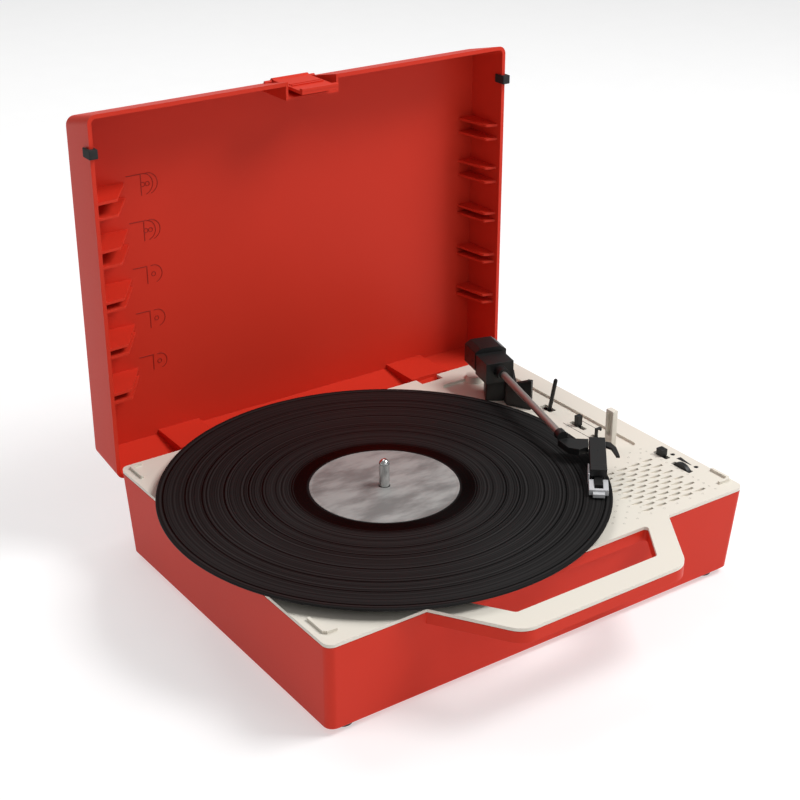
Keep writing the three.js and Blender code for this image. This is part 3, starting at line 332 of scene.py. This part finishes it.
def clear_lens(name):
    """Smoked acrylic lens, nearly black while it is unlit."""
    material, tree, shader, place = start_material(name)
    depth = add_node(tree, "ShaderNodeTexNoise", inputs={"Vector": place, "Scale": 1 / (1 * MM)})
    tone = add_node(tree, "ShaderNodeValToRGB", inputs={"Fac": depth.outputs["Fac"]})
    tone.color_ramp.elements[0].color = linear("0C0909")
    tone.color_ramp.elements[1].color = linear("1A1110")
    tree.links.new(tone.outputs["Color"], shader.inputs["Base Color"])
    shader.inputs["Roughness"].default_value = 0.12
    return material


def flat_ink_and_shade(name, colour):
    """A flat matte finish, a little uneven in cover: pad-printed ink, and also the painted shade of the
    grille's dimples.
    """
    material, tree, shader, place = start_material(name)
    cover = add_node(tree, "ShaderNodeTexNoise", inputs={"Vector": place, "Scale": 1 / (0.8 * MM)})
    spread = add_node(
        tree, "ShaderNodeMapRange", inputs={"Value": cover.outputs["Fac"], "To Min": 0.5, "To Max": 0.7}
    )
    tree.links.new(spread.outputs["Result"], shader.inputs["Roughness"])
    shader.inputs["Base Color"].default_value = linear(colour)
    return material


FINISHES = {}


def finish(slot_name):
    """The material of a slot, made the first time that it is asked for."""
    if slot_name not in FINISHES:
        colours = bpy.context.scene.player_colours
        sizes = bpy.context.scene.player_sizes
        makers = {
            "red_abs": lambda: moulded_abs("red_moulded_abs", colours.red, 0.40, index=1.2),
            "cream_abs": lambda: moulded_abs("cream_moulded_abs", colours.cream, 0.45, variation=0.03),
            "black_abs": lambda: moulded_abs("black_moulded_abs", colours.black, 0.42, index=1.42),
            "grey_abs": lambda: moulded_abs("grey_moulded_abs", colours.grey, 0.40, variation=0.03),
            "rubber": lambda: moulded_rubber("moulded_rubber"),
            "felt_rubber": lambda: moulded_rubber("platter_mat_rubber", "181818", 0.9),
            "vinyl": lambda: pressed_vinyl("pressed_vinyl", sizes.groove),
            "label_paper": lambda: coated_paper("coated_label_paper", colours.label),
            "chrome_steel": lambda: turned_metal("chromed_steel", "D9D9D8", 0.12),
            "steel": lambda: turned_metal("zinc_plated_steel", "A7A6A3", 0.32),
            "brass": lambda: turned_metal("turned_brass", "B89A56", 0.3),
            "gunmetal_tube": lambda: turned_metal("anodised_aluminium", "A69E99", 0.45, metallic=0.7),
            "black_metal": lambda: moulded_abs("black_painted_zinc", colours.black, 0.4, index=1.42),
            "board": lambda: solder_mask("circuit_board_mask"),
            "cone_paper": lambda: moulded_rubber("pressed_cone_paper", "242322", 0.85),
            "magnet": lambda: moulded_rubber("sintered_ferrite", "303030", 0.6),
            "led_lens": lambda: clear_lens("smoked_acrylic"),
            "ink": lambda: flat_ink_and_shade("black_pad_ink", "171717"),
            # The signs' thin moulded lines are coloured a darker red: painted shade along the lines.
            "sign": lambda: moulded_abs("painted_shade_red_abs", "9A2318", 0.5),
            # The dimples are coloured a darker cream as painted shade in their hollows.
            "dimple": lambda: flat_ink_and_shade("painted_shade_dimple", "8F897D"),
        }
        FINISHES[slot_name] = makers[slot_name]()
    return FINISHES[slot_name]


NODE_SLOTS = {row["node"]: row["material_slot"] for row in frame["record"]["subparts"]}
NODE_BODIES = {
    node: body for body, nodes in frame["record"]["behaviour"]["bodies"].items() for node in nodes
}


# ---------------------------------------------------------------- modelling helpers
def deselect_all():
    """Leaves edit mode and clears the selection."""
    if bpy.context.object is not None and bpy.context.object.mode != "OBJECT":
        bpy.ops.object.mode_set(mode="OBJECT")
    bpy.ops.object.select_all(action="DESELECT")


def make_active(piece):
    """Makes a piece the only one selected."""
    deselect_all()
    bpy.context.view_layer.objects.active = piece
    piece.select_set(True)


def settle(piece, name, slot_name, body, material=None):
    """Names a finished piece, puts its place into its mesh, and gives it its material and its body."""
    make_active(piece)
    bpy.ops.object.transform_apply(location=True, rotation=True, scale=True)
    piece.name = name
    piece.data.name = name
    piece.data.materials.clear()
    piece.data.materials.append(material or finish(slot_name))
    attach(piece, body)
    return piece


def smooth_by_angle(piece, degrees=35):
    """Shades a piece smooth, with sharp edges where it turns by more than the angle."""
    make_active(piece)
    bpy.ops.object.shade_smooth_by_angle(angle=math.radians(degrees))


def add_modifier(piece, kind, **settings):
    """Adds a modifier with its settings and applies it."""
    make_active(piece)
    modifier = piece.modifiers.new(kind.replace("_", " ").title(), kind)
    for key, value in settings.items():
        setattr(modifier, key, value)
    bpy.ops.object.modifier_apply(modifier=modifier.name)


def merged_copy(node):
    """A copy of a CAD node as one closed mesh of flat faces."""
    piece = bpy.data.objects.new(node + "_finished", frame["nodes"][node].data.copy())
    bpy.context.scene.collection.objects.link(piece)
    make_active(piece)
    bpy.ops.object.mode_set(mode="EDIT")
    bpy.ops.mesh.select_all(action="SELECT")
    bpy.ops.mesh.remove_doubles(threshold=0.004 * MM)
    bpy.ops.mesh.dissolve_limited(angle_limit=math.radians(0.6))
    bpy.ops.object.mode_set(mode="OBJECT")
    piece.data.polygons.foreach_set("use_smooth", [False] * len(piece.data.polygons))
    return piece


def moulded_copy(node, radius, segments=2):
    """A CAD node with the small radii that its mould leaves on its edges, standing for that node."""
    piece = merged_copy(node)
    add_modifier(
        piece,
        "BEVEL",
        width=radius,
        segments=segments,
        limit_method="ANGLE",
        angle_limit=math.radians(50),
        use_clamp_overlap=True,
        loop_slide=False,
        harden_normals=False,
    )
    smooth_by_angle(piece)
    add_modifier(piece, "WEIGHTED_NORMAL", mode="FACE_AREA", weight=100, keep_sharp=True)
    settle(piece, node + "_finished", NODE_SLOTS[node], NODE_BODIES[node])
    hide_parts(node)
    return piece


def spun(name, profile, steps):
    """A turned part: a line of (radius, height) points in millimetres, spun about the spindle."""
    mesh = bpy.data.meshes.new(name)
    points = [Vector((SPINDLE.x + r * MM, SPINDLE.y, DECK_TOP + z * MM)) for r, z in profile]
    mesh.from_pydata(points, [(i, i + 1) for i in range(len(points) - 1)], [])
    piece = bpy.data.objects.new(name, mesh)
    bpy.context.scene.collection.objects.link(piece)
    make_active(piece)
    bpy.ops.object.mode_set(mode="EDIT")
    bpy.ops.mesh.select_all(action="SELECT")
    bpy.ops.mesh.spin(steps=steps, angle=math.tau, center=(SPINDLE.x, SPINDLE.y, 0.0), axis=(0, 0, 1))
    bpy.ops.mesh.select_all(action="SELECT")
    bpy.ops.mesh.remove_doubles(threshold=0.001 * MM)
    bpy.ops.mesh.normals_make_consistent(inside=False)
    bpy.ops.object.mode_set(mode="OBJECT")
    return piece


def block(low, high):
    """A primitive box between two corners."""
    deselect_all()
    bpy.ops.mesh.primitive_cube_add(size=1.0, location=(low + high) / 2)
    piece = bpy.context.object
    piece.scale = high - low
    bpy.ops.object.transform_apply(location=True, rotation=True, scale=True)
    return piece


def select_where(piece, test):
    """In edit mode, selects the vertices that a rule picks by their place, and nothing else."""
    bpy.ops.mesh.select_mode(type="VERT")
    bpy.ops.mesh.select_all(action="DESELECT")
    mesh = bmesh.from_edit_mesh(piece.data)
    for vertex in mesh.verts:
        vertex.select = test(vertex.co)
    mesh.select_flush(True)
    bmesh.update_edit_mesh(piece.data)


def dish(radius, depth, rim):
    """A shallow round dish, lying at the origin with its rim upwards."""
    deselect_all()
    bpy.ops.mesh.primitive_cylinder_add(vertices=16, radius=radius, depth=depth)
    piece = bpy.context.object
    bpy.ops.object.mode_set(mode="EDIT")
    select_where(piece, lambda place: place.z > 0)
    bpy.ops.mesh.inset(thickness=rim)
    bpy.ops.transform.translate(value=(0, 0, -depth * 0.6))
    bpy.ops.object.mode_set(mode="OBJECT")
    return piece


def repeated(piece, places):
    """Copies of one modelled piece, one at each place, as a single piece."""
    twins = []
    for place in places:
        twin = bpy.data.objects.new(piece.name, piece.data.copy())
        twin.matrix_world = place if isinstance(place, Matrix) else Matrix.Translation(place)
        bpy.context.scene.collection.objects.link(twin)
        make_active(twin)
        bpy.ops.object.transform_apply(location=True, rotation=True, scale=True)
        twins.append(twin)
    bpy.data.objects.remove(piece)
    return joined(twins)


def joined(pieces):
    """Several mesh objects as one."""
    deselect_all()
    for piece in pieces:
        piece.select_set(True)
    bpy.context.view_layer.objects.active = pieces[0]
    bpy.ops.object.join()
    return pieces[0]


# ---------------------------------------------------------------- operators
class PLAYER_OT_stage(bpy.types.Operator):
    """Lays the pale floor, hangs the soft lights and stands the camera."""

    bl_idname = "player.stage"
    bl_label = "Stage"

    def execute(self, context):
        deselect_all()
        bpy.ops.mesh.primitive_plane_add(size=12.0, location=(0, 0, -0.2 * MM))
        floor = context.object
        floor.name = "studio_floor"
        material, tree, shader, place = start_material("pale_paper_sweep")
        mottle = add_node(tree, "ShaderNodeTexNoise", inputs={"Vector": place, "Scale": 1 / (40 * MM)})
        shades = {"Value": mottle.outputs["Fac"], "To Min": 0.53, "To Max": 0.57}
        tone = add_node(tree, "ShaderNodeMapRange", inputs=shades)
        tree.links.new(tone.outputs["Result"], shader.inputs["Base Color"])
        shader.inputs["Roughness"].default_value = 0.85
        shader.inputs["Specular IOR Level"].default_value = 0.2
        shader.inputs["Emission Color"].default_value = (1.0, 1.0, 1.0, 1.0)
        shader.inputs["Emission Strength"].default_value = FLOOR_GLOW
        floor.data.materials.append(material)

        world = context.scene.world or bpy.data.worlds.new("studio")
        context.scene.world = world
        world.use_nodes = True
        background = world.node_tree.nodes.get("Background")
        background.inputs["Color"].default_value = (1.0, 1.0, 1.0, 1.0)
        background.inputs["Strength"].default_value = WORLD_LIGHT

        for name, place, size, power in LIGHTS:
            data = bpy.data.lights.new(name, "AREA")
            data.size = size
            data.energy = power
            lamp = bpy.data.objects.new(name, data)
            context.scene.collection.objects.link(lamp)
            lamp.location = place
            aim = Vector((0.0, 0.0, 0.08)) - Vector(place)
            lamp.rotation_euler = aim.to_track_quat("-Z", "Y").to_euler()

        camera_data = bpy.data.cameras.new("camera")
        camera_data.lens = CAMERA_LENS
        camera_data.clip_start = 0.05
        camera = bpy.data.objects.new("camera", camera_data)
        context.scene.collection.objects.link(camera)
        camera.location = CAMERA_PLACE
        camera.rotation_euler = (math.radians(90 + CAMERA_TILT), 0.0, math.radians(CAMERA_TURN))
        context.scene.camera = camera
        context.scene.view_settings.view_transform = "Standard"
        return {"FINISHED"}


FLOOR_GLOW = 0.5
WORLD_LIGHT = 0.26
LIGHTS = (
    ("key_light", (1.05, -0.75, 1.85), 0.9, 37.0),
    ("fill_light", (-0.2, -1.7, 1.1), 1.2, 3.0),
    ("back_light", (0.1, 1.3, 1.9), 1.2, 17.0),
)
CAMERA_LENS = 72.13
CAMERA_PLACE = (-0.55661, -0.77412, 0.58452)
CAMERA_TILT = -25.48
CAMERA_TURN = -34.94


class PLAYER_OT_case(bpy.types.Operator):
    """Finishes the base, the deck, the rest post and the feet."""

    bl_idname = "player.case"
    bl_label = "Case"

    def execute(self, context):
        sizes = context.scene.player_sizes
        moulded_copy("base_shell", sizes.case_edge, 3)
        moulded_copy("deck_plate", sizes.deck_edge)
        moulded_copy("arm_rest_post", 0.5 * MM)
        for corner in ("front_left", "front_right", "rear_left", "rear_right"):
            moulded_copy(f"foot_{corner}", 0.4 * MM)
        return {"FINISHED"}


class PLAYER_OT_grille(bpy.types.Operator):
    """Adds the sloping floors in the speaker slots and the shallow dimples round them."""

    bl_idname = "player.grille"
    bl_label = "Speaker grille"

    def execute(self, context):
        length = SLOT_LENGTH - SLOT_MOUTH - SLOT_GAP
        half = Vector((length, SLOT_WIDTH - 2 * SLOT_GAP, SLOT_DEPTH)) * MM / 2
        ramp = block(-half, half)
        bpy.ops.object.mode_set(mode="EDIT")
        select_where(ramp, lambda place: place.x > 0 and place.z > 0)
        bpy.ops.transform.translate(value=(0, 0, (SLOT_TOE - SLOT_DEPTH) * MM))
        bpy.ops.object.mode_set(mode="OBJECT")
        add_modifier(ramp, "BEVEL", width=0.06 * MM, segments=1, limit_method="ANGLE")
        middle = Vector((-SLOT_MOUTH - length / 2, 0, -SLOT_SINK - SLOT_DEPTH / 2)) * MM
        ramps = repeated(ramp, [on_deck(x, y) + middle for x, y in grille_slots()])
        settle(ramps, "grille_ramps", "cream_abs", "player_base")

        # The dimples take a darker cream as painted shade in their hollows.
        dimples = repeated(dish(0.75 * MM, 0.16 * MM, 0.15 * MM), [on_deck(x, y) for x, y in DIMPLES])
        settle(dimples, "grille_dimples", "cream_abs", "player_base", finish("dimple"))
        return {"FINISHED"}


SLOT_LENGTH = 9.4
SLOT_WIDTH = 2.2
SLOT_DEPTH = 2.05
SLOT_MOUTH = 2.4
SLOT_GAP = 0.05
SLOT_TOE = 0.25
SLOT_SINK = 0.1
FIRST_ROW = 13.3
FIRST_SLOT = 262.0
LAST_SLOT = 311.0
SLOT_PITCH_X = 11.8
SLOT_PITCH_Y = 5.15
SLOT_ROWS = 11


def grille_slots():
    """The right end and the middle line of every slot, on the deck."""
    slots = []
    for row in range(SLOT_ROWS):
        end = FIRST_SLOT + (row % 2) * SLOT_PITCH_X / 2
        if row == SLOT_ROWS - 1:
            end += SLOT_PITCH_X
        while end < LAST_SLOT:
            slots.append((end, FIRST_ROW + row * SLOT_PITCH_Y))
            end += SLOT_PITCH_X
    return slots


DIMPLES = (
    [(232.5 + 11.7 * i, 8.5) for i in range(8)]
    + [(313.7, 8.5 + 5.15 * i) for i in range(1, 14)]
    + [(280, 70), (291.5, 70), (303, 70), (297.5, 76), (309, 76), (303, 80.5), (313, 80.5)]
    + [(226.8 + 11.7 * i, 13.3) for i in range(3)]
    + [(232.6 + 11.7 * i, 18.5) for i in range(3)]
    + [(238.5, 23.6), (250, 23.6), (244.5, 28.8), (256, 28.8), (250, 33.9), (256, 39)]
)


class PLAYER_OT_turntable(bpy.types.Operator):
    """Turns the record, its label and the spindle, and finishes the platter and its mat."""

    bl_idname = "player.turntable"
    bl_label = "Turntable"

    def execute(self, context):
        steps = context.scene.player_sizes.turns
        record = spun("pressed_record", record_profile(), steps)
        smooth_by_angle(record, 30)
        settle(record, "pressed_record", "vinyl", "turntable")
        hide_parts("record")

        label = spun("printed_label", LABEL_PROFILE, steps)
        smooth_by_angle(label, 30)
        settle(label, "printed_label", "label_paper", "turntable")
        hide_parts("record_label")

        spindle = spun("domed_spindle", SPINDLE_PROFILE, 64)
        smooth_by_angle(spindle, 40)
        settle(spindle, "domed_spindle", "chrome_steel", "turntable")
        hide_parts("spindle")

        moulded_copy("platter", 0.3 * MM)
        moulded_copy("slipmat", 0.3 * MM)
        return {"FINISHED"}


RECORD_BOTTOM = 6.2
RECORD_RADIUS = 150.8
LABEL_RADIUS = 50.0
BORE = 3.9
RUN_OUT = 56.0
RUN_OUT_HALF = 4.5
GAP_HALF = 0.55
TRACK_GAPS = (61.5, 81.0, 90.0, 106.0, 120.5, 131.5, 146.0)


def record_profile():
    """The record's section: thick rim, grooved area with gaps between tracks, and label ground."""
    top = RECORD_TOP
    grooved = top - 0.3
    points = [(BORE, RECORD_BOTTOM), (RECORD_RADIUS - 0.6, RECORD_BOTTOM)]
    for i in range(1, 8):
        turn = math.pi * i / 8 - math.pi / 2
        across = RECORD_RADIUS - 0.6 + 0.6 * math.cos(turn)
        points.append((across, RECORD_TOP - 0.9 + 0.9 * math.sin(turn)))
    points += [(RECORD_RADIUS - 0.8, top), (RECORD_RADIUS - 2.6, top), (RECORD_RADIUS - 4.0, grooved)]
    for gap in reversed(TRACK_GAPS):
        points += [(gap + 0.45, grooved), (gap + 0.4, grooved - 0.05)]
        points += [(gap - 0.4, grooved - 0.05), (gap - 0.45, grooved)]
    points += [
        (LABEL_RADIUS + 4.0, grooved),
        (LABEL_RADIUS + 2.4, top - 0.08),
        (LABEL_RADIUS + 0.6, top - 0.08),
        (LABEL_RADIUS + 0.3, top - 0.5),
        (BORE, top - 0.5),
        (BORE, RECORD_BOTTOM),
    ]
    return points


LABEL_PROFILE = (
    (BORE, RECORD_TOP - 0.4),
    (LABEL_RADIUS, RECORD_TOP - 0.4),
    (LABEL_RADIUS, RECORD_TOP - 0.1),
    (LABEL_RADIUS - 0.1, RECORD_TOP),
    (LABEL_RADIUS - 1.6, RECORD_TOP),
    (LABEL_RADIUS - 1.8, RECORD_TOP - 0.05),
    (LABEL_RADIUS - 2.0, RECORD_TOP),
    (BORE + 0.1, RECORD_TOP),
    (BORE, RECORD_TOP - 0.1),
    (BORE, RECORD_TOP - 0.4),
)
SPINDLE_RADIUS = 3.6
SPINDLE_TOP = 27.5
SPINDLE_PROFILE = [(0.0, -29.0), (2.8, -29.0), (3.0, -28.8), (3.0, -7.8), (SPINDLE_RADIUS, -7.0)] + [
    (
        SPINDLE_RADIUS * math.cos(math.pi / 2 * i / 10),
        SPINDLE_TOP - SPINDLE_RADIUS + SPINDLE_RADIUS * math.sin(math.pi / 2 * i / 10),
    )
    for i in range(11)
]


MARK_LOW = -2.02
MARK_HIGH = -1.95


class PLAYER_OT_controls(bpy.types.Operator):
    """Finishes the levers, switches, wheel and lenses, and prints the marks beside them."""

    bl_idname = "player.controls"
    bl_label = "Controls"

    def execute(self, context):
        for node in ("cue_lever", "speed_selector", "auto_stop_switch", "mode_switch"):
            moulded_copy(node, 0.35 * MM)
        moulded_copy("volume_wheel", 0.3 * MM)
        for node in ("led_power", "led_pairing"):
            moulded_copy(node, 0.25 * MM)
        marks = [
            block(on_deck(297.8, 118, MARK_LOW), on_deck(298.3, 147, MARK_HIGH)),
            block(on_deck(311.3, 126, MARK_LOW), on_deck(311.8, 141, MARK_HIGH)),
            self.wedge(),
        ]
        printed = joined(marks)
        add_modifier(printed, "BEVEL", width=0.015 * MM, segments=1, limit_method="ANGLE")
        settle(printed, "printed_marks", "black_abs", "player_base", finish("ink"))
        return {"FINISHED"}

    def wedge(self):
        """The tapering volume mark beside the wheel."""
        piece = block(on_deck(323.6, 42.5, -0.02), on_deck(327.6, 55.5, 0.05))
        front = on_deck(0, 45).y
        bpy.ops.object.mode_set(mode="EDIT")
        select_where(piece, lambda place: place.y < front)
        bpy.ops.transform.resize(value=(0.15, 1, 1), center_override=on_deck(325, 42.5))
        bpy.ops.object.mode_set(mode="OBJECT")
        return piece


ARM_PIVOT = (281.5, 210.0)
ARM_TURN = 14.2
HEAD_TURN = 25.6
HEAD_CORNER = (23.3, -125.1, 20.0)
HEAD_DOT = Vector((0, -20, 0)) * MM
HEAD_SEAM_LOW = Vector((-5.3, -42.3, -0.05)) * MM
HEAD_SEAM_HIGH = Vector((5.3, -41.9, 0.05)) * MM
WEIGHT_HOLES = ((-11.5, 12, 26), (-11.5, 21.5, 26))


def arm_point(x, y, z):
    """A point given in millimetres from the tonearm's upright pivot, square to the tube."""
    turn = math.radians(-ARM_TURN)
    along = x * math.cos(turn) - y * math.sin(turn)
    across = x * math.sin(turn) + y * math.cos(turn)
    return on_deck(ARM_PIVOT[0] + along, ARM_PIVOT[1] + across, z)


class PLAYER_OT_tonearm(bpy.types.Operator):
    """Finishes the tonearm from its base to the stylus."""

    bl_idname = "player.tonearm"
    bl_label = "Tonearm"

    def execute(self, context):
        edge = context.scene.player_sizes.arm_edge
        for node in ("arm_base", "arm_block", "counterweight", "headshell_connector", "headshell"):
            moulded_copy(node, edge, 3)
        for node in ("finger_lift", "cartridge", "stylus_guard"):
            moulded_copy(node, edge * 0.6)
        tube = moulded_copy("arm_tube", 0.2 * MM)
        smooth_by_angle(tube, 40)
        for node in ("arm_swivel", "arm_tilt_pin", "arm_bearing", "stylus"):
            moulded_copy(node, 0.1 * MM, 1)
        self.weight_holes()
        self.head_marks()
        return {"FINISHED"}

    def weight_holes(self):
        """Two blind holes in the counterweight's left face."""
        turn = Matrix.Rotation(math.radians(-ARM_TURN), 4, "Z")
        facing = turn @ Matrix.Rotation(-math.pi / 2, 4, "Y")
        places = [Matrix.Translation(arm_point(*hole)) @ facing for hole in WEIGHT_HOLES]
        holes = repeated(dish(1.1 * MM, 0.3 * MM, 0.15 * MM), places)
        settle(holes, "counterweight_holes", "rubber", "arm")

    def head_marks(self):
        """The headshell's fixing dot and the seam of its front cap."""
        turn = math.radians(-ARM_TURN - HEAD_TURN)
        corner = Matrix.Translation(arm_point(*HEAD_CORNER)) @ Matrix.Rotation(turn, 4, "Z")
        dot = dish(0.7 * MM, 0.12 * MM, 0.1 * MM)
        dot.matrix_world = corner @ Matrix.Translation(HEAD_DOT)
        seam = block(HEAD_SEAM_LOW, HEAD_SEAM_HIGH)
        add_modifier(seam, "BEVEL", width=0.02 * MM, segments=1, limit_method="ANGLE")
        seam.matrix_world = corner
        for piece in (dot, seam):
            make_active(piece)
            bpy.ops.object.transform_apply(location=True, rotation=True, scale=True)
        settle(joined([dot, seam]), "headshell_marks", "black_abs", "arm", finish("ink"))


class PLAYER_OT_lid(bpy.types.Operator):
    """Finishes the lid, latch, bumpers and hinge pins, and draws the signs beside the lid's ribs."""

    bl_idname = "player.lid"
    bl_label = "Lid"

    def execute(self, context):
        sizes = context.scene.player_sizes
        moulded_copy("lid_shell", sizes.case_edge, 3)
        moulded_copy("latch", 0.4 * MM)
        for side in ("left", "right"):
            moulded_copy(f"bumper_{side}", 0.6 * MM)
            moulded_copy(f"hinge_pin_{side}", 0.2 * MM, 1)
        moulded_copy("latch_pin", 0.2 * MM, 1)
        lines = []
        for top, bottom, discs in SIGNS:
            lines += self.sign(top, bottom, discs)
        signs = joined(lines)
        add_modifier(
            signs,
            "BEVEL",
            width=0.08 * MM,
            segments=1,
            limit_method="ANGLE",
            angle_limit=math.radians(70),
        )
        # The signs take a darker red as painted shade along their moulded lines.
        settle(signs, "lid_signs", "red_abs", "lid", finish("sign"))
        return {"FINISHED"}

    def sign(self, top, bottom, discs):
        """One sign: a shelf and an edge line, and one or two half discs seen beside them."""
        middle = (top + bottom) / 2
        radius = (top - bottom) / 2
        face = LID_PANEL - SIGN_RISE
        back = LID_PANEL + SIGN_LINE / 2
        shelf_low = on_deck(SIGN_LEFT, face, top - SIGN_LINE / 2)
        shelf_high = on_deck(SIGN_EDGE, back, top + SIGN_LINE / 2)
        edge_low = on_deck(SIGN_EDGE - SIGN_LINE, face, bottom)
        edge_high = on_deck(SIGN_EDGE, back, top)
        lines = [block(shelf_low, shelf_high), block(edge_low, edge_high)]
        for i in range(discs):
            centre = on_deck(SIGN_DISC - SIGN_STEP * i, LID_PANEL, middle)
            for size in (radius, SIGN_HOLE):
                deselect_all()
                bpy.ops.mesh.primitive_torus_add(
                    major_radius=size * MM,
                    minor_radius=SIGN_LINE / 2 * MM,
                    major_segments=32,
                    minor_segments=6,
                    location=centre,
                    rotation=(math.pi / 2, 0, 0),
                )
                ring = bpy.context.object
                bpy.ops.object.transform_apply(location=True, rotation=True, scale=True)
                if size == radius:
                    self.keep_right(ring, centre)
                lines.append(ring)
        return lines

    def keep_right(self, ring, centre):
        """Cuts a ring down to its right half and closes the cut ends."""
        make_active(ring)
        bpy.ops.object.mode_set(mode="EDIT")
        bpy.ops.mesh.select_all(action="SELECT")
        bpy.ops.mesh.bisect(plane_co=centre, plane_no=(1, 0, 0.3), clear_inner=True, use_fill=True)
        bpy.ops.object.mode_set(mode="OBJECT")


SIGN_LEFT = 39.5
SIGN_EDGE = 50.5
SIGN_LINE = 0.6
SIGN_RISE = 0.25
SIGN_DISC = 55.0
SIGN_STEP = 3.5
SIGN_HOLE = 1.5
SIGNS = ((190.5, 175.5, 2), (157.5, 143, 2), (124.5, 111.5, 1), (91.5, 78.5, 1), (58, 46.5, 1))


class PLAYER_OT_inside(bpy.types.Operator):
    """Gives the works inside the case their metals, board and paper."""

    bl_idname = "player.inside"
    bl_label = "Works inside"

    def execute(self, context):
        for node, cad in frame["nodes"].items():
            if not cad.hide_render:
                cad.data.materials.clear()
                cad.data.materials.append(finish(NODE_SLOTS[node]))
        return {"FINISHED"}


class PLAYER_PT_panel(bpy.types.Panel):
    """Lists the steps that finish the record player."""

    bl_idname = "PLAYER_PT_panel"
    bl_label = "Record Player"
    bl_space_type = "VIEW_3D"
    bl_region_type = "UI"
    bl_category = "Record Player"

    def draw(self, context):
        for operator in OPERATORS:
            self.layout.operator(operator.bl_idname)
        for group in (context.scene.player_colours, context.scene.player_sizes):
            box = self.layout.box()
            for name in group.__annotations__:
                box.prop(group, name)


OPERATORS = (
    PLAYER_OT_stage,
    PLAYER_OT_case,
    PLAYER_OT_grille,
    PLAYER_OT_turntable,
    PLAYER_OT_controls,
    PLAYER_OT_tonearm,
    PLAYER_OT_lid,
    PLAYER_OT_inside,
)
CLASSES = (PlayerColours, PlayerSizes) + OPERATORS + (PLAYER_PT_panel,)


def register():
    for cls in CLASSES:
        bpy.utils.register_class(cls)
    bpy.types.Scene.player_colours = bpy.props.PointerProperty(type=PlayerColours)
    bpy.types.Scene.player_sizes = bpy.props.PointerProperty(type=PlayerSizes)


def unregister():
    del bpy.types.Scene.player_sizes
    del bpy.types.Scene.player_colours
    for cls in reversed(CLASSES):
        bpy.utils.unregister_class(cls)


def main():
    register()
    bpy.ops.player.stage()
    bpy.ops.player.case()
    bpy.ops.player.grille()
    bpy.ops.player.turntable()
    bpy.ops.player.controls()
    bpy.ops.player.tonearm()
    bpy.ops.player.lid()
    bpy.ops.player.inside()


if __name__ == "__main__":
    main()
